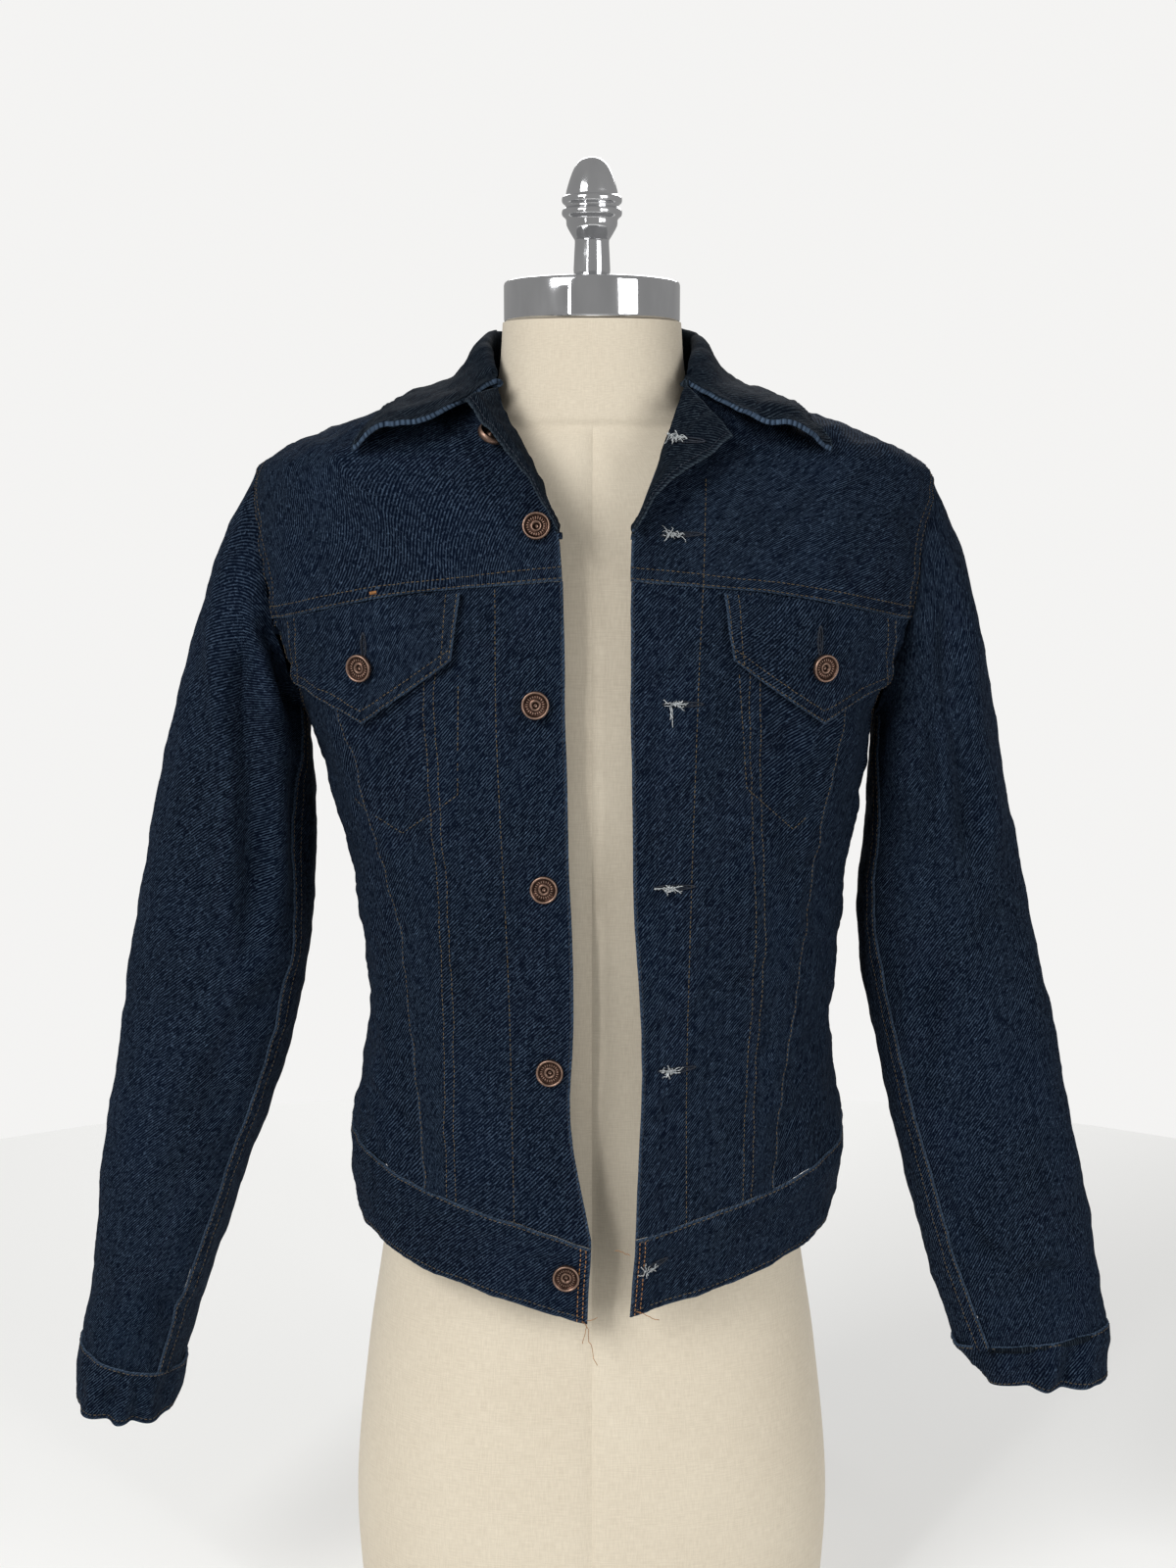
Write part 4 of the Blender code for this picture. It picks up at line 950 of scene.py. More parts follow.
# %% The back panels and the waistband
back_turn = FULL_TURN - ARMHOLE_YOKE_TURN
yoke_end, yoke_place = armhole(1, back_turn)
share = np.linspace(-1, 1, 49)
back_yoke_seam = np.stack(
        [math.pi + (math.pi - yoke_end) * share, yoke_place + BACK_YOKE_RISE * (1 - share**2)], -1)


def other_side(line):
    return np.stack([FULL_TURN - line[::-1, 0], line[::-1, 1]], -1)


upper_armhole = armhole(1, np.linspace(back_turn, FULL_TURN, 25))
half_top = np.vstack([straight((QUARTER, SHOULDER_EDGE), (QUARTER, NECKLINE)),
                      straight((QUARTER, NECKLINE), (math.pi, NECKLINE), 16)[1:]])
grid = body(panel(back_yoke_seam, np.vstack([half_top, other_side(half_top)[1:]]), upper_armhole,
                  other_side(upper_armhole)[::-1], BACK_YOKE_STEP))
add_sheet("back_yoke", grid, 1, ("bottom",), rests_on=(TORSO_SOLID,), creases=body_creases,
          puckers=("bottom", "left", "right"))

v_top, v_foot = (math.pi - math.radians(angle) for angle in BACK_V_ANGLES)
back_v = straight(join_at(back_yoke_seam, v_top), (v_foot, BAND_SEAM))
grid = body(panel(band_line(v_foot, FULL_TURN - v_foot), stretch_of(back_yoke_seam, v_top, FULL_TURN - v_top),
                  back_v[::-1], other_side(back_v), BACK_STEP))
add_sheet("back_centre", grid, 1, ("left", "right"), rests_on=(TORSO_SOLID,), creases=body_creases,
          puckers=("left", "right", "top"))

lower_armhole = armhole(1, np.linspace(math.pi, back_turn, 25))
side_seam = straight((QUARTER, BAND_SEAM), (QUARTER, armpit_place))
for side in (-1, 1):
    top = np.vstack([lower_armhole, stretch_of(back_yoke_seam, yoke_end, v_top)[1:]])
    lines = [line * (side, 1) for line in (band_line(QUARTER, v_foot), top, side_seam, back_v[::-1])]
    grid = body(panel(*lines, BACK_STEP))
    add_sheet(f"back_side_{SIDE_NAME[side]}", grid, side, (), rests_on=(TORSO_SOLID,), creases=body_creases,
              puckers=("left", "right", "top"))

band_start, band_end = front_edge[1][-1, 0], FULL_TURN + front_edge[-1][-1, 0]
band = panel(straight((band_start, 0), (band_end, 0), 96), band_line(band_start, band_end),
             straight((band_start, 0), (band_start, BAND_SEAM), 8),
             straight((band_end, 0), (band_end, BAND_SEAM), 8), BAND_STEP)
add_sheet("waistband", body(band), 1, ("top", "bottom", "left", "right"), DOUBLE_CLOTH,
          rests_on=("front_centre_left", "back_centre"),
          puckers=("top", "bottom"), press=0.6)
print("with the back and waistband:", len(sheets), "sheets")

# %% [markdown]
# ## Sleeves and cuffs
#
# A sleeve is two pieces: a wide upper one, and a narrow one under the arm. Both follow
# tilted ovals down the arm. Near the armhole the sleeve is crushed against the body, so
# its longest troughs start there; near the cuff the cloth is gathered into short folds.

# %% The sleeves and cuffs


HEAD_TUCK = -0.0002        # the sleeve's head is tucked this far under the armhole edge
CUFF_TUCK = 0.09           # and its end this share of the last section into the cuff
UPPER_SLEEVE_GRID = (104, 150)   # columns and rows, fine enough for the creases
UNDER_SLEEVE_GRID = (30, 150)


def section_point(side, section, turn):
    """Points of a tilted oval: turn 0 is the outer side, a quarter turn the front."""
    x, y, z, half_width, half_depth, tilt = section
    tilt = np.radians(tilt)
    across = half_width * np.cos(turn)
    return np.stack([side * (x + across * np.cos(tilt)), y - half_depth * np.sin(turn),
                     z + across * np.sin(tilt)], -1)


def glide_between(rows, place):
    """Like glide, where every point has its own column of rows."""
    padded = np.concatenate([2 * rows[:1] - rows[1:2], rows, 2 * rows[-1:] - rows[-2:-1]])
    place = np.clip(place, 0, len(rows) - 1 - 1e-9)
    index = place.astype(int)
    f = (place - index)[..., None]
    p0, p1, p2, p3 = (np.take_along_axis(padded, (index + k)[None, ..., None], 0)[0] for k in range(4))
    pull_in = 0.5 * (p2 - p0)
    pull_out = 0.5 * (p3 - p1)
    return p1 + f * (pull_in + f
                     * (3 * (p2 - p1) - 2 * pull_in - pull_out + f * (2 * (p1 - p2) + pull_in + pull_out)))


def sleeve_point(side, turn, place):
    head = body(armhole(side, turn)) + (side * HEAD_TUCK, 0.0, 0.0)
    rows = [head] + [section_point(side, section, turn) for section in SLEEVE_SECTIONS[side]]
    rows.append(rows[-1] + CUFF_TUCK * (rows[-1] - rows[-2]))
    return glide_between(np.stack(rows), place)


def sleeve_grid(side, first, last, columns, rows):
    """A sleeve piece between two seams, each given by its turn at armhole and cuff."""
    f = 1 - np.linspace(0, 1, rows + 1)[:, None]
    start = np.radians(first[0] + (first[1] - first[0]) * f)
    stop = np.radians(last[0] + (last[1] - last[0]) * f)
    turn = start + (stop - start) * fractions(0.003 * columns, 0.003)[None, :]
    return sleeve_point(side, turn, (len(SLEEVE_SECTIONS[side]) + 1) * f + 0 * turn)


for side in (-1, 1):
    name = SIDE_NAME[side]
    sleeve_creases = (SLEEVE_FRONT_CREASES[side], SLEEVE_BACK_CREASES[side])
    back_seam = tuple(angle - 360 for angle in BACK_SLEEVE_SEAM)
    on_body = (f"front_yoke_{name}", "back_yoke", f"front_side_{name}", f"back_side_{name}")
    add_sheet(f"upper_sleeve_{name}", sleeve_grid(side, back_seam, FRONT_SLEEVE_SEAM, *UPPER_SLEEVE_GRID),
              -side, (),
              rests_on=on_body, creases=sleeve_creases, puckers=("left", "right", "bottom"), press=0.5)
    add_sheet(f"under_sleeve_{name}",
            sleeve_grid(side, FRONT_SLEEVE_SEAM, BACK_SLEEVE_SEAM, *UNDER_SLEEVE_GRID), -side,
            ("left", "right"),
              rests_on=on_body, creases=sleeve_creases, puckers=("left", "right", "bottom"), press=0.5)
    turn = FULL_TURN * np.linspace(0, 1, 129)[None, :]
    up = fractions(0.045, 0.0022)[:, None]
    rows = np.stack([section_point(side, section, turn + 0 * up) for section in CUFF_SECTIONS[side][::-1]])
    add_sheet(f"cuff_{name}", glide_between(rows, 2 * up + 0 * turn), -side, ("top", "bottom"), DOUBLE_CLOTH,
              rests_on=(f"upper_sleeve_{name}",), creases=(CUFF_CREASES[side], SLEEVE_BACK_CREASES[side]),
              puckers=("top", "bottom"), press=0.5, rise=0.0002)
print("with the sleeves:", len(sheets), "sheets")

# %% [markdown]
# ## Collar, lapels and pocket flaps
#
# The collar stands up from the neckline, folds over and lies on the shoulders. With the
# jacket worn open, the top of each front turns back into a small lapel: that shows the
# inner face of the denim, which is flatter and greyer. The flaps are doubled and
# pointed, and lie a little proud of the panels.

# %% The collar, lapels and flaps


def refined(grid, u, v):
    """A coarse grid of points, made fine by gliding along both directions."""
    rows, columns = grid.shape[:2]
    flat = glide(grid.reshape(rows, -1), v * (rows - 1)).reshape(len(v), columns, 3)
    turned = flat.swapaxes(0, 1)
    return glide(turned.reshape(columns, -1), u * (columns - 1)).reshape(len(u), len(v), 3).swapaxes(0, 1)


def clear_of_shoulders(points, lift):
    """The points, raised where they would come within the lift of the shoulders."""
    angle = np.arctan2(points[..., 0], -points[..., 1])
    radius = np.hypot(points[..., 0], points[..., 1])

    def reach(place):
        ring = ring_point(RINGS, angle, place)
        return radius - np.hypot(ring[..., 0], ring[..., 1])

    place = solve(reach, np.full(angle.shape, float(SHOULDER_EDGE)), np.full(angle.shape, float(NECKLINE)))
    floor = ring_point(RINGS, angle, place)[..., 2] + lift
    over = reach(np.full(angle.shape, float(NECKLINE))) >= 0
    raised = points.copy()
    raised[..., 2] = np.where(over, np.maximum(points[..., 2], floor), points[..., 2])
    return raised


def collar_station(place):
    """Points across the collar: up the stand, over the fold and down the leaf."""
    angle, fold_x, fold_y, fold_z, edge_angle, edge_ring = glide(COLLAR, place)
    foot = body(np.array([math.radians(angle), NECKLINE])) + (0, 0, NECK_EDGE_GAP)
    fold = np.array([fold_x, fold_y, fold_z])
    edge = body(np.array([math.radians(edge_angle), edge_ring]), COLLAR_LIFT)
    shoulder = fold + 0.0050 * unit(edge - fold) + (0, 0, 0.0010)
    points = [foot, 0.5 * (foot + fold), fold, shoulder]
    bow = LEAF_BOW * max(0.0, 1 - place / LEAF_BOW_END) ** 2
    for f in (0.25, 0.50, 0.75):
        sag = 4 * f * (1 - f) * np.array((0.0, -bow, -LEAF_HOLLOW))
        points.append(clear_of_shoulders(shoulder + f * (edge - shoulder) + sag, COLLAR_LIFT))
    return np.array(points + [edge])


stations = np.array([collar_station(place) for place in np.linspace(0, len(COLLAR) - 1, 25)])
collar = np.concatenate([stations[:-1] * (-1, 1, 1), stations[::-1]]).swapaxes(0, 1)
collar = refined(collar, fractions(0.48, 0.0028), fractions(0.10, 0.0028))
add_sheet("collar", collar, -1, ("top", "left", "right"), DOUBLE_CLOTH,
          rests_on=("front_yoke_left", "front_yoke_right", "back_yoke"),
          puckers=("top", "left", "right"), press=0.7)

lapel_rows = {}
for side in (-1, 1):
    name = SIDE_NAME[side]
    fold = front_edge[side][body(front_edge[side])[:, 2] > LAPEL_FOOT]
    fold = body(share_out(fold, np.linspace(0, 1, 9)), CLOTH + DOUBLE_CLOTH)
    ends = glide(LAPEL_EDGE[side], np.linspace(0, len(LAPEL_EDGE[side]) - 1, 9)) * (side, 1, 1)
    f = np.array((0, 0.33, 0.66, 1))[None, :, None]
    rows = fold[:, None] * (1 - f) + ends[:, None] * f + 4 * f * (1 - f) * np.array((0.0, -0.0030, 0.0015))
    lapel_rows[side] = rows
    lapel = refined(rows[::-1], fractions(0.045, 0.0016), fractions(0.10, 0.0020))
    add_sheet(f"lapel_{name}", lapel, side, ("right", "top"), CLOTH, (DENIM_REVERSE, DENIM),
              (f"front_yoke_{name}",),
              puckers=("right",), press=0.7)

for side in (-1, 1):
    name = SIDE_NAME[side]
    bottom = np.vstack([front_line(side, FLAP_BOTTOM[:2])[:-1], front_line(side, FLAP_BOTTOM[1:])])
    sides = [front_line(side, (low, high)) for low,
             high in zip((FLAP_BOTTOM[0], FLAP_BOTTOM[-1]), (FLAP_TOP[0], FLAP_TOP[-1]))]
    flap = body(panel(bottom, front_line(side, FLAP_TOP), *sides, FLAP_STEP), FLAP_LIFT)
    add_sheet(f"pocket_flap_{name}", flap, side, ("bottom", "left", "right"), DOUBLE_CLOTH,
              rests_on=(f"front_middle_{name}",),
              puckers=("bottom", "left", "right"), press=0.9)
print("all the cloth:", len(sheets), "sheets,",
      sum(s["grid"].shape[0] * s["grid"].shape[1] for s in sheets.values()), "points")

# %% [markdown]
# ## Stitching
#
# Nearly every seam shows two rows of topstitching, eight stitches to the inch. Each
# stitch is a short, slightly arched piece of thread that sinks into the cloth at both
# ends. We lay rows along lines on the sheets we have just made, so they follow every
# crease, and join all the stitches of one colour into one mesh.

# %% Lay rows of stitches
STITCH_PITCH = 0.0031
STITCH_LENGTH = 0.0024
THREAD_RADIUS = 0.00027
STITCH_RINGS = ((0.0, -0.0003, 0.5), (0.22, 0.00012, 1.0), (0.78, 0.00012, 1.0), (1.0, -0.0003, 0.5))
THREAD_SIDES = 5
rows_of = {"tan": [], "orange": [], "navy": []}
shuffle = np.random.default_rng(8)


def inset_row(name, edge, inset, start=0.0, end=1.0):
    """Points and normals of a line that runs inside one edge of a sheet."""
    grid, normals = sheets[name]["grid"], sheets[name]["normals"]
    if edge in ("left", "right"):
        grid, normals = grid.swapaxes(0, 1), normals.swapaxes(0, 1)
    if edge in ("top", "right"):
        grid, normals = grid[::-1], normals[::-1]
    reach = across_from(grid, "bottom")
    line = np.empty((2, grid.shape[1], 3))
    for i in range(grid.shape[1]):
        for k in range(3):
            line[0, i, k] = np.interp(inset, reach[:, i], grid[:, i, k])
            line[1, i, k] = np.interp(inset, reach[:, i], normals[:, i, k])
    run = reach_along(line[0])
    spots = np.linspace(start, end, 200) * run[-1]
    return tuple(np.stack([np.interp(spots, run, part[:, k]) for k in range(3)], -1) for part in line)


def drawn_row(names, line, facing=-1, count=6):
    """Points and normals where a line drawn on the front meets these sheets."""
    points = np.concatenate([sheets[name]["grid"].reshape(-1, 3) for name in names])
    normals = np.concatenate([sheets[name]["normals"].reshape(-1, 3) for name in names])
    shown = facing * normals[:, 1] > 0.1
    points, normals = points[shown], normals[shown]
    flat = smooth_line(line, count * 4)
    apart = np.linalg.norm(points[None, :, [0, 2]] - flat[:, None], axis=-1)
    near = np.argsort(apart, axis=1)[:, :5]
    weight = 1 / (np.take_along_axis(apart, near, 1) + 1e-4) ** 2
    weight /= weight.sum(1, keepdims=True)
    made = (points[near] * weight[..., None]).sum(1)
    made[:, [0, 2]] = flat
    return made, unit((normals[near] * weight[..., None]).sum(1))


def stitch(row, colour="tan", skip=0.0):
    """Cut a row into stitches and keep them for the mesh of this colour."""
    points, normals = row
    run = reach_along(points)
    starts = np.arange(0.0005, run[-1] - STITCH_LENGTH, STITCH_PITCH)
    starts = starts + shuffle.normal(0, 0.00012, len(starts))
    starts = starts[shuffle.random(len(starts)) >= skip]
    if len(starts):
        rows_of[colour].append((points, normals, run, starts))


def stitched_mesh(name, rows, finish):
    """One mesh for many stitches: each is a small tube of rings along its row."""
    turns = FULL_TURN * np.arange(THREAD_SIDES) / THREAD_SIDES
    vertices = []
    for points, normals, run, starts in rows:
        shares, lifts, sizes = (np.array(column) for column in zip(*STITCH_RINGS))
        spots = starts[:, None] + STITCH_LENGTH * shares
        at = np.stack([np.interp(spots, run, points[:, k]) for k in range(3)], -1)
        up = unit(np.stack([np.interp(spots, run, normals[:, k]) for k in range(3)], -1))
        along = unit(at[:, -1:] - at[:, :1])
        across = unit(np.cross(along, up))
        at = at + up * lifts[None, :, None]
        radius = THREAD_RADIUS * sizes[None, :, None, None]
        ring = np.cos(turns)[:, None] * across[:, :, None] + 0.8 * np.sin(turns)[:, None] * up[:, :, None]
        vertices.append((at[:, :, None] + radius * ring).reshape(-1, 3))
    vertices = np.concatenate(vertices)
    rings = len(STITCH_RINGS)
    size = rings * THREAD_SIDES
    base = np.arange(len(vertices) // size)[:, None] * size
    side = [(r * THREAD_SIDES + i, r * THREAD_SIDES + (i + 1) % THREAD_SIDES,
             (r + 1) * THREAD_SIDES + (i + 1) % THREAD_SIDES, (r + 1) * THREAD_SIDES + i)
            for r in range(rings - 1) for i in range(THREAD_SIDES)]
    quads = (base[:, :, None] + np.array(side)[None]).reshape(-1, 4).tolist()
    caps = [list(range(THREAD_SIDES))[::-1], list(range(size - THREAD_SIDES, size))]
    ends = (base[:, :, None] + np.array(caps)[None]).reshape(-1, THREAD_SIDES).tolist()
    mesh = bpy.data.meshes.new(name)
    mesh.from_pydata(vertices.tolist(), [], quads + ends)
    mesh.shade_smooth()
    made = place_object(name, mesh, finish)
    print(name, "has", len(base), "stitches")
    return made


# %% [markdown]
# ## Where the rows go
#
# The rows follow the pattern: twice along the yoke, the armholes, the sleeve seams and
# the slanted front seams; once along the plackets and the folded edges; a pointed
# outline where each pocket bag is held down behind the chest.

# %% Sew the jacket
EDGE_ROW, FELL_ROW = 0.0022, 0.0088
PLACKET_ROW = {
    -1: ((-0.058, 0.715), (-0.057, 0.619), (-0.051, 0.479), (-0.048, 0.322)),
    1: ((0.068, 0.780), (0.066, 0.714), (0.063, 0.646), (0.060, 0.536), (0.058, 0.428), (0.058, 0.318)),
}
POCKET_ROW = {
    -1: ((-0.080, 0.664), (-0.081, 0.591), (-0.116, 0.565), (-0.141, 0.578), (-0.148, 0.584)),
    1: ((0.088, 0.664), (0.091, 0.625), (0.093, 0.595), (0.123, 0.567), (0.134, 0.575)),
}

for side in (-1, 1):
    name = SIDE_NAME[side]
    front = [f"{piece}_{name}" for piece in ("front_yoke", "front_centre", "front_middle", "front_side")]
    for inset in (EDGE_ROW, FELL_ROW):
        stitch(inset_row(front[0], "bottom", inset))
        stitch(inset_row(front[0], "right", inset))
        stitch(inset_row(front[3], "top", inset, 0.35, 1.0))
        stitch(inset_row(f"back_side_{name}", "top", inset, 0.0, 0.55))
        stitch(inset_row(front[1], "right", inset - 0.0008))
        stitch(inset_row(f"under_sleeve_{name}", "left", inset))
        stitch(inset_row(f"under_sleeve_{name}", "right", inset))
        stitch(inset_row(f"pocket_flap_{name}", "bottom", inset, 0.02, 0.98))
        stitch(inset_row(f"pocket_flap_{name}", "left", inset, 0.05, 1.0))
        stitch(inset_row(f"pocket_flap_{name}", "right", inset, 0.05, 1.0))
    stitch(inset_row(front[2], "right", EDGE_ROW))
    stitch(inset_row(front[1], "left", EDGE_ROW), "navy")
    stitch(drawn_row(front[:2], PLACKET_ROW[side]))
    points, normals = (np.concatenate(parts) for parts in zip(
        *(drawn_row(front[1:], POCKET_ROW[side][i:i + 2], count=2)
          for i in range(len(POCKET_ROW[side]) - 1))))
    stitch((points, normals))
    stitch(inset_row(f"cuff_{name}", "top", EDGE_ROW))
    stitch(inset_row(f"cuff_{name}", "bottom", 0.0042))
    stitch(inset_row(f"lapel_{name}", "right", 0.0045), "navy")
for inset in (EDGE_ROW, FELL_ROW):
    stitch(inset_row("back_yoke", "bottom", inset))
    stitch(inset_row("back_yoke", "left", inset))
    stitch(inset_row("back_yoke", "right", inset))
    stitch(inset_row("back_centre", "left", inset))
    stitch(inset_row("back_centre", "right", inset))
stitch(inset_row("waistband", "top", EDGE_ROW))
stitch(inset_row("waistband", "bottom", 0.0045))
for edge in ("left", "right"):
    for inset in (0.0035, 0.0070):
        stitch(inset_row("waistband", edge, inset), "orange")
stitch(inset_row("collar", "top", 0.0060))
stitch(inset_row("collar", "left", 0.0050, 0.3, 1.0))
stitch(inset_row("collar", "right", 0.0050, 0.3, 1.0))

# %% [markdown]
# ## Tack buttons
#
# A tack button is stamped: a rolled rim, a flat ring and a hollow centre, riveted to a
# nail behind the cloth. We spin its profile and press a ring of small beads into the
# flat ring, where a maker would stamp a name. Each stands where its solid does.

# %% Spin and place the buttons
BUTTON_PROFILE = (                # shares of the radius and of the height, from the centre
    (0.0, 0.20), (0.08, 0.20), (0.14, 0.28), (0.20, 0.46), (0.27, 0.66), (0.33, 0.72), (0.39, 0.66),
    (0.44, 0.58),
    (0.50, 0.58), (0.56, 0.58), (0.62, 0.58), (0.68, 0.58), (0.74, 0.62), (0.80, 0.80), (0.87, 0.98),
    (0.93, 1.0),
    (0.98, 0.84), (1.0, 0.55), (0.97, 0.22), (0.86, 0.0),
)
BEADS = 22
BEAD_BAND = (0.49, 0.69)          # where the beads stand, in shares of the radius
BEAD_HEIGHT = 0.16
BUTTON_STEPS = 88


def spun(name, radii, heights, centre, axis, steps, finish):
    """A turned mesh about an axis through a point; heights may differ round the turn."""
    axis = unit(np.asarray(axis, float))
    side = unit(np.cross(axis, (0.0, 0.3, 1.0) if abs(axis[0]) > 0.5 else (1.0, 0.2, 0.0)))
    other = np.cross(axis, side)
    turn = FULL_TURN * np.arange(steps) / steps
    heights = np.broadcast_to(np.asarray(heights, float).T, (steps, len(radii)))
    wheel = np.cos(turn)[:, None] * side + np.sin(turn)[:, None] * other
    points = centre + np.asarray(radii)[None, :, None] * wheel[:, None] + heights[..., None] * axis
    count = len(radii)
    faces = [(i * count + j, i * count + j + 1, (i + 1) % steps * count + j + 1, (i + 1) % steps * count + j)
             for i in range(steps) for j in range(count - 1)]
    mesh = bpy.data.meshes.new(name)
    mesh.from_pydata(points.reshape(-1, 3).tolist(), [], faces)
    mesh.shade_smooth()
    return place_object(name, mesh, finish)


def button(node, centre, axis, radius=TACK_RADIUS):
    """A tack button in place of its solid."""
    profile = np.array(BUTTON_PROFILE)
    turn = FULL_TURN * np.arange(BUTTON_STEPS) / BUTTON_STEPS
    middle, half = sum(BEAD_BAND) / 2, (BEAD_BAND[1] - BEAD_BAND[0]) / 2
    band = np.sqrt(np.clip(1 - ((profile[:, 0] - middle) / half) ** 2, 0, 1))
    beads = BEAD_HEIGHT * band[:, None] * np.clip(np.cos(BEADS * turn) + 0.25, 0, 1)[None, :]
    made = spun(node + "_face", profile[:, 0] * radius, (profile[:, 1:] + beads) * TACK_HEIGHT, centre,
                axis, BUTTON_STEPS, COPPER)
    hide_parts(node)
    return made


def front_normal(spot):
    return unit(body(spot, 0.01) - body(spot))


for number, (x, z) in enumerate(FRONT_TACKS, 1):
    spot = on_front(-1, x, z)
    button(f"front_tack_{number}", body(spot, TACK_SEAT), front_normal(spot))
for side in (-1, 1):
    name = SIDE_NAME[side]
    spot = on_front(side, *FLAP_TACK)
    button(f"flap_tack_{name}", body(spot, FLAP_LIFT + TACK_SEAT), front_normal(spot))
    upper, middle, lower = (np.array(section) for section in CUFF_SECTIONS[side])
    turn = np.array(math.radians(CUFF_TACK_TURN))
    seat, ahead = section_point(side, middle, turn), section_point(side, middle, turn + 0.01)
    down = section_point(side, lower, turn) - section_point(side, upper, turn)
    axis = side * unit(np.cross(ahead - seat, down))
    button(f"cuff_tack_{name}", seat + TACK_SEAT * axis, axis, CUFF_TACK_RADIUS)
rows = lapel_rows[-1]
seat, across, along = rows[2, 2], rows[2, 3] - rows[2, 1], rows[3, 2] - rows[1, 2]
hidden = unit(np.cross(along, across))
button("neck_tack", seat + (CLOTH + NECK_TACK_SEAT) * hidden, hidden)
nail = spun("neck_tack_nail", (0.0, 0.0009, 0.0014, 0.0023, 0.0027, 0.0026),
            np.array([0.0009, 0.0009, 0.0005, 0.0007, 0.0003, -0.0004])[:, None],
            seat - 0.0003 * hidden, -hidden, 32, CHROME)
print("10 buttons of", BEADS, "beads, and the nail's back on the lapel")

# %% [markdown]
# ## Buttonholes and loose threads
#
# The buttonholes of this jacket have frayed: white weft hangs out of them in tufts. A
# buttonhole is a slit bound with thread laid square to it, so we ring each one with
# short navy stitches round a dark slot, then add curling strands of white weft. The
# waistband's ends have a few long orange tails.

# %% Bind the buttonholes and let threads hang


def tube(points, radius, sides=5):
    """Vertices and faces of a thin round strand along a line of points."""
    points = np.asarray(points)
    along = unit(np.gradient(points, axis=0))
    side = unit(np.cross(along, (0.31, 0.27, 0.91)))
    other = np.cross(along, side)
    turns = FULL_TURN * np.arange(sides) / sides
    size = radius * np.sqrt(np.clip(4 * np.linspace(0.03, 0.97, len(points)), 0, 1))[:, None, None]
    ring = np.cos(turns)[:, None] * side[:, None] + np.sin(turns)[:, None] * other[:, None]
    vertices = (points[:, None] + size * ring).reshape(-1, 3)
    faces = [(r * sides + i, r * sides + (i + 1) % sides, (r + 1) * sides + (i + 1) % sides,
              (r + 1) * sides + i)
             for r in range(len(points) - 1) for i in range(sides)]
    faces += [tuple(range(sides))[::-1], tuple(range((len(points) - 1) * sides, len(points) * sides))]
    return vertices, faces


def strands(name, lines, radius, finish):
    """One mesh of many loose strands."""
    vertices, faces, count = [], [], 0
    for line in lines:
        more, quads = tube(line, radius)
        faces += [tuple(count + i for i in quad) for quad in quads]
        vertices.append(more)
        count += len(more)
    mesh = bpy.data.meshes.new(name)
    mesh.from_pydata(np.concatenate(vertices).tolist(), [], faces)
    mesh.shade_smooth()
    return place_object(name, mesh, finish)


def curl(start, out, reach, wander, sag=0.0, count=11):
    """A wandering strand from a point, lifting off the cloth and sagging."""
    share = np.linspace(0, 1, count)[:, None]
    steps = np.cumsum(shuffle.normal(0, wander, (count, 3)), axis=0) * share
    lift = np.asarray(out) * (0.0012 * np.sin(math.pi * share))
    fall = np.array((0.0, 0.0, -1.0)) * sag * share**1.5
    return np.asarray(start) + np.asarray(reach) * share + steps + lift + fall


# Each hole: its sheets, middle (x, z), half length, lean in degrees, and tufts of weft.
BUTTONHOLES = (
    (("lapel_left",), (0.056, 0.802), 0.0105, -4, 26),
    (("front_yoke_left",), (0.053, 0.7465), 0.0120, 2, 22),
    (("front_centre_left",), (0.054, 0.6465), 0.0115, 0, 18),
    (("front_centre_left",), (0.050, 0.5355), 0.0115, 2, 26),
    (("front_centre_left",), (0.052, 0.4220), 0.0110, 4, 24),
    (("waistband",), (0.038, 0.2985), 0.0095, 32, 10),
    (("pocket_flap_right",), (-0.1375, 0.6800), 0.0075, 90, 0),
    (("pocket_flap_left",), (0.1370, 0.6830), 0.0085, 90, 0),
)
SLOT_HALF = 0.0007
binding, tufts, slots = [], [], []
for names, (x, z), half, lean, count in BUTTONHOLES:
    lean = math.radians(lean)
    run = np.array((math.cos(lean), math.sin(lean)))
    over = np.array((-run[1], run[0]))
    middle = np.array((x, z))
    around = []
    for share in np.linspace(0, 1, 61):
        turn = FULL_TURN * share
        around.append(middle + half * np.cos(turn) * run + (0.0013 * np.sin(turn)) * over)
    points, normals = drawn_row(names, np.array(around)[::3], count=1)
    for k in range(len(points) - 1):
        side = unit(points[k] - points.mean(0))
        binding.append(points[k] + normals[k] * 0.0004 + np.outer((-0.0006, 0.0, 0.0008), side)
                       + np.outer((0, 0.0004, 0), normals[k]))
    centre, normal = drawn_row(names, (middle - half * 0.92 * run, middle + half * 0.92 * run), count=3)
    slots.append((centre + normal * 0.00025, normal))
    frayed = middle - 0.45 * half * run
    anchor, normal = drawn_row(names, (frayed - 0.3 * half * run, frayed + 0.3 * half * run), count=2)
    for _ in range(count):
        start = anchor[shuffle.integers(len(anchor))] + normal[0] * 0.0006
        flat = shuffle.uniform(-0.0050, 0.0062) * run + shuffle.uniform(-0.0024, 0.0022) * over
        tufts.append(curl(start, 2 * normal[0], (flat[0], -0.0008, flat[1]), 0.0005,
                          shuffle.uniform(0, 0.0015)))
start = drawn_row(("front_centre_left",), ((0.046, 0.6455), (0.048, 0.6455)), count=1)[0][0]
tufts += [curl(start + (dx, -0.0010, 0), (0, -1, 0), (0.001, -0.001, 0), 0.0004, sag) for dx,
          sag in ((0, 0.011), (0.0006, 0.008), (0.001, 0.009))]
strands("buttonhole_binding", binding, 0.00032, NAVY_THREAD)
strands("frayed_weft", tufts, 0.00024, WHITE_THREAD)

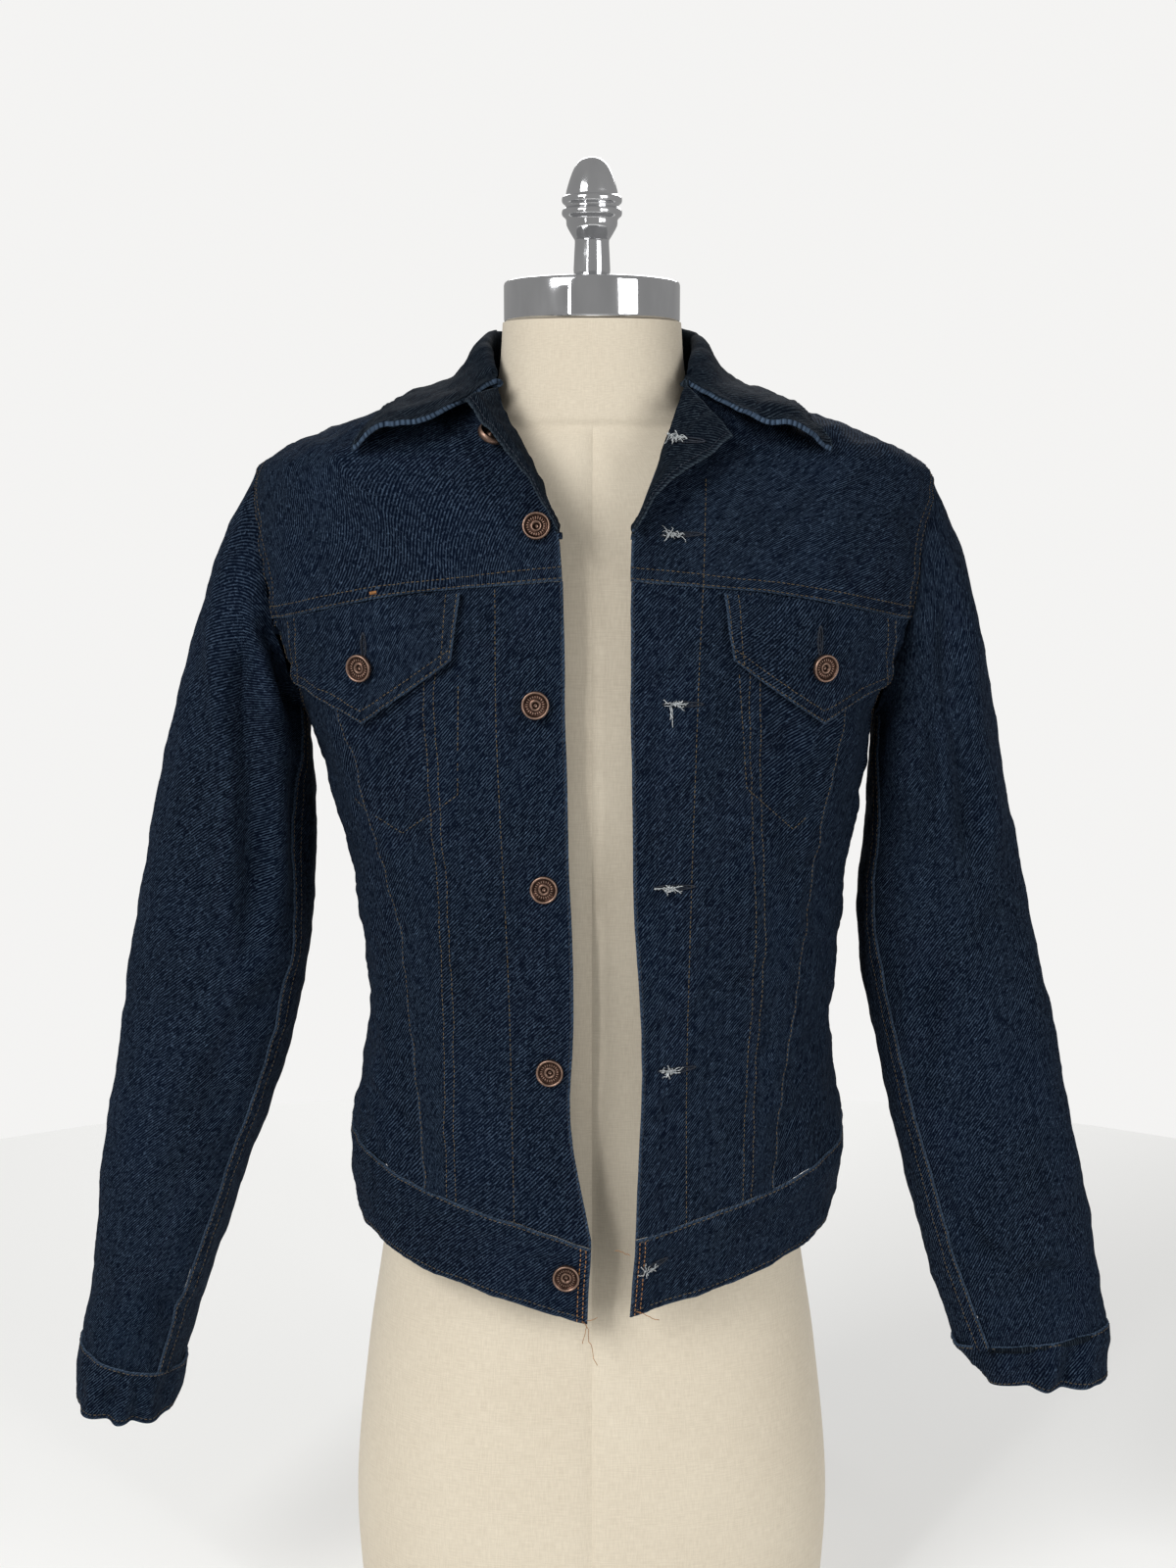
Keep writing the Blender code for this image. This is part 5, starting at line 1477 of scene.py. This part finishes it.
vertices, faces = [], []
for centre, normal in slots:
    along = unit(np.gradient(centre, axis=0))
    side = unit(np.cross(along, normal))
    width = SLOT_HALF * np.sqrt(np.clip(np.sin(math.pi * np.linspace(0.02, 0.98, len(centre))), 0, 1))[:,
            None]
    base = sum(len(block) for block in vertices)
    vertices.append(np.concatenate([centre - side * width, centre - normal * 0.0005, centre + side * width]))
    n = len(centre)
    faces += [(base + a * n + i, base + a * n + i + 1, base + (a + 1) * n + i + 1, base + (a + 1) * n + i)
              for a in (0, 1) for i in range(n - 1)]
mesh = bpy.data.meshes.new("buttonhole_slots")
mesh.from_pydata(np.concatenate(vertices).tolist(), [], faces)
place_object("buttonhole_slots", mesh, NAVY_THREAD)

ends = sheets["waistband"]["grid"]
left_low, right_low = ends[0, 0], ends[0, -1]
tails = [
    curl(right_low + (-0.004, -0.001, 0.004), (0, -1, 0), (0.010, -0.001, 0.0), 0.0012, 0.028),
    curl(right_low + (-0.002, -0.001, 0.003), (0, -1, 0), (0.007, -0.001, 0.002), 0.0006, 0.001),
    curl(right_low + (-0.001, -0.001, 0.001), (0, -1, 0), (0.002, -0.001, 0.0), 0.0006, 0.012),
    curl(left_low + (0.001, -0.001, 0.040), (0, -1, 0), (-0.007, -0.001, 0.002), 0.0006, 0.001),
    curl(left_low + (0.003, -0.001, 0.004), (0, -1, 0), (0.008, -0.001, 0.0), 0.0008, 0.006),
]
strands("loose_ends", tails, 0.00022, ORANGE_THREAD)


def tack_bar(row, length=0.007):
    """A bar tack: stitches laid side by side, square to a short line."""
    points, normals = row
    bars = []
    run = reach_along(points)
    for spot in np.arange(0, min(length, run[-1]), 0.00055):
        at, up = (np.array([np.interp(spot, run, part[:, k]) for k in range(3)])
                  for part in (points, normals))
        side = unit(np.cross(points[1] - points[0], up))
        bars.append(at + up * 0.0004 + np.outer((-0.0010, 0.0, 0.0010), side) + np.outer((0, 0.0003, 0), up))
    return bars


bars = tack_bar(inset_row("collar", "right", 0.0060, 0.62, 1.0)) + tack_bar(
        inset_row("front_yoke_right", "bottom", 0.0045, 0.55, 0.6), 0.004)
strands("bar_tacks", bars, 0.00028, ORANGE_THREAD)
for colour, finish in (("tan", TAN_THREAD), ("orange", ORANGE_THREAD), ("navy", NAVY_THREAD)):
    stitched_mesh(f"{colour}_stitches", rows_of[colour], finish)

# %% [markdown]
# ## The dress form
#
# The jacket rests on a tailor's form: a padded torso without arms, covered in linen
# that is seamed down its front, back and sides and once round the neck. We spin it on
# its own rings, press the seams in as shallow grooves, and set a chrome cap and an
# acorn finial on its neck.

# %% The linen torso and the chrome
FORM_AROUND, FORM_UP = 144, 160
SEAM_DEPTH, SEAM_WIDTH = 0.0019, 0.0026
form_rings = np.array(list(FORM_RINGS.values()))
turn = FULL_TURN * np.linspace(0, 1, FORM_AROUND + 1)[None, :]
place = (len(form_rings) - 1) * np.linspace(0, 1, FORM_UP + 1)[:, None]
torso = ring_point(form_rings, turn + 0 * place, place + 0 * turn)
radius = np.hypot(torso[..., 0], torso[..., 1])
groove = np.zeros(torso.shape[:2])
for seam in (0, 90, 180, 270, 360):
    apart = abs(turn - math.radians(seam)) * radius
    groove += np.exp(-((apart / SEAM_WIDTH) ** 2)) * (torso[..., 2] < 0.86)
neck_seam = 0.812 + 0.024 * smooth_step((torso[..., 1] + 0.06) / 0.12)
groove = np.maximum(groove * (torso[..., 2] < neck_seam),
                    np.exp(-(((torso[..., 2] - neck_seam) / SEAM_WIDTH) ** 2)))
torso -= (SEAM_DEPTH * groove)[..., None] * normals_of(torso, 1)
mesh = mesh_from_grid("form_torso", torso, 1)
made = place_object("linen_torso", mesh, LINEN)
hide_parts("form_torso")
caps = []
for row, outward in ((torso[0], -1), (torso[-1], 1)):
    centre = row[:-1].mean(0)
    rings = [centre + (row[:-1] - centre) * share for share in (1.0, 0.66, 0.33, 0.02)]
    grid = np.array([np.vstack([ring, ring[:1]]) for ring in rings])
    end = place_object("linen_end_" + ("top" if outward > 0 else "bottom"),
                       mesh_from_grid("end", grid, outward), LINEN)

rim, top, bottom = NECK_CAP_RADIUS, NECK_CAP_TOP, NECK_CAP_BOTTOM
cap_profile = (
    (0.0, top), (0.020, top), (rim - 0.0040, top), (rim - 0.0016, top - 0.0004),
    (rim - 0.0004, top - 0.0014), (rim, top - 0.0030),
    (rim, top - 0.0120), (rim, bottom + 0.0040), (rim, bottom + 0.0020), (rim - 0.0003, bottom + 0.0008),
    (rim - 0.0015, bottom),
    (rim - 0.0060, bottom), (0.0, bottom),
)
for node, profile, steps in (("form_neck_cap", cap_profile, 128), ("form_finial", FINIAL_PROFILE, 96)):
    profile = smooth_line(profile, 3) if node == "form_finial" else np.array(profile)
    profile[:, 0] = np.maximum(profile[:, 0], 0.0)
    made = spun(node + "_chrome", profile[:, 0], profile[:, 1:], np.zeros(3), (0, 0, 1), steps, CHROME)
    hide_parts(node)

# %% [markdown]
# ## How much denim the pieces take
#
# Each sheet kept the size it was cut to, before it was creased, and here the areas are
# added up to show how much denim it takes.

total = sum(cut[3] for cut in cuts.values())
print("denim in the cut pieces:", round(total, 2), "square metres")

# %% [markdown]
# ## The studio
#
# A pale floor and a pale room, with two broad lamps in front, one high at the left and
# one low at the right, and a third behind. The room itself gives only a little light, so
# the sides of the sleeves fall into shade and show how round they are. A narrow strip on
# each side gives the chrome its bright bars.

# %% Floor, light and camera
ROOM = (0.905, 0.900, 0.890)
world = bpy.data.worlds.new("studio")
world.use_nodes = True
ROOM_LIGHT = 0.36               # the room's own light, as a share of its paleness
nodes, links = world.node_tree.nodes, world.node_tree.links
nodes["Background"].inputs["Color"].default_value = (*ROOM, 1.0)
seen = nodes.new("ShaderNodeLightPath")
strength = nodes.new("ShaderNodeMapRange")
strength.inputs["To Min"].default_value = ROOM_LIGHT
strength.inputs["To Max"].default_value = 1.0
links.new(seen.outputs["Is Camera Ray"], strength.inputs["Value"])
links.new(strength.outputs["Result"], nodes["Background"].inputs["Strength"])
bpy.context.scene.world = world
bpy.context.scene.view_settings.view_transform = "Standard"

floor_paper = Finish("floor_paper", 0.95, 0.0, (0.66, 0.66, 0.65))
grain = floor_paper.noise(
        floor_paper.stretched(floor_paper.add("TexCoord").outputs["Object"], (180, 180, 180)), 2.0)
floor_paper.bump(grain, 0.0002, 0.2)
floor_paper.shader.inputs["Emission Color"].default_value = (*ROOM, 1.0)
floor_paper.shader.inputs["Emission Strength"].default_value = 0.20
mesh = bpy.data.meshes.new("floor")
ring = [(1.3 * math.cos(FULL_TURN * i / 64), 1.3 * math.sin(FULL_TURN * i / 64), -0.0005) for i in range(64)]
mesh.from_pydata(ring, [], [tuple(range(64))])
mesh.materials.append(floor_paper.material)
floor = bpy.data.objects.new("floor", mesh)
bpy.context.scene.collection.objects.link(floor)

LAMPS = (                       # name, place, size across and up, watts
    ("window_left", (-1.9, -2.2, 2.3), 1.5, 1.5, 80),
    ("fill_right", (2.2, -2.0, 1.3), 1.4, 1.8, 26),
    ("back_high", (0.3, 2.8, 2.4), 2.0, 1.4, 60),
    ("strip_left", (-1.1, -2.0, 1.0), 0.10, 1.6, 8),
    ("strip_right", (1.3, -1.7, 1.0), 0.12, 1.6, 7),
)
middle = bpy.data.objects.new("aim", None)
bpy.context.scene.collection.objects.link(middle)
middle.location = (0.0, 0.0, 0.62)
for name, place, wide, high, watts in LAMPS:
    data = bpy.data.lights.new(name, "AREA")
    data.shape, data.size, data.size_y, data.energy = "RECTANGLE", wide, high, watts
    lamp = bpy.data.objects.new(name, data)
    bpy.context.scene.collection.objects.link(lamp)
    lamp.location = place
    lamp.rotation_euler = (middle.location - lamp.location).to_track_quat("-Z", "Y").to_euler()
bpy.data.objects.remove(middle)

camera_data = bpy.data.cameras.new("camera")
camera_data.lens = 50.0
camera_data.sensor_width = 36.0
camera = bpy.data.objects.new("camera", camera_data)
bpy.context.scene.collection.objects.link(camera)
camera.location = (-0.0025, -1.42, 0.78)
camera.rotation_euler = (math.radians(82.0), 0.0, 0.0)
bpy.context.scene.camera = camera
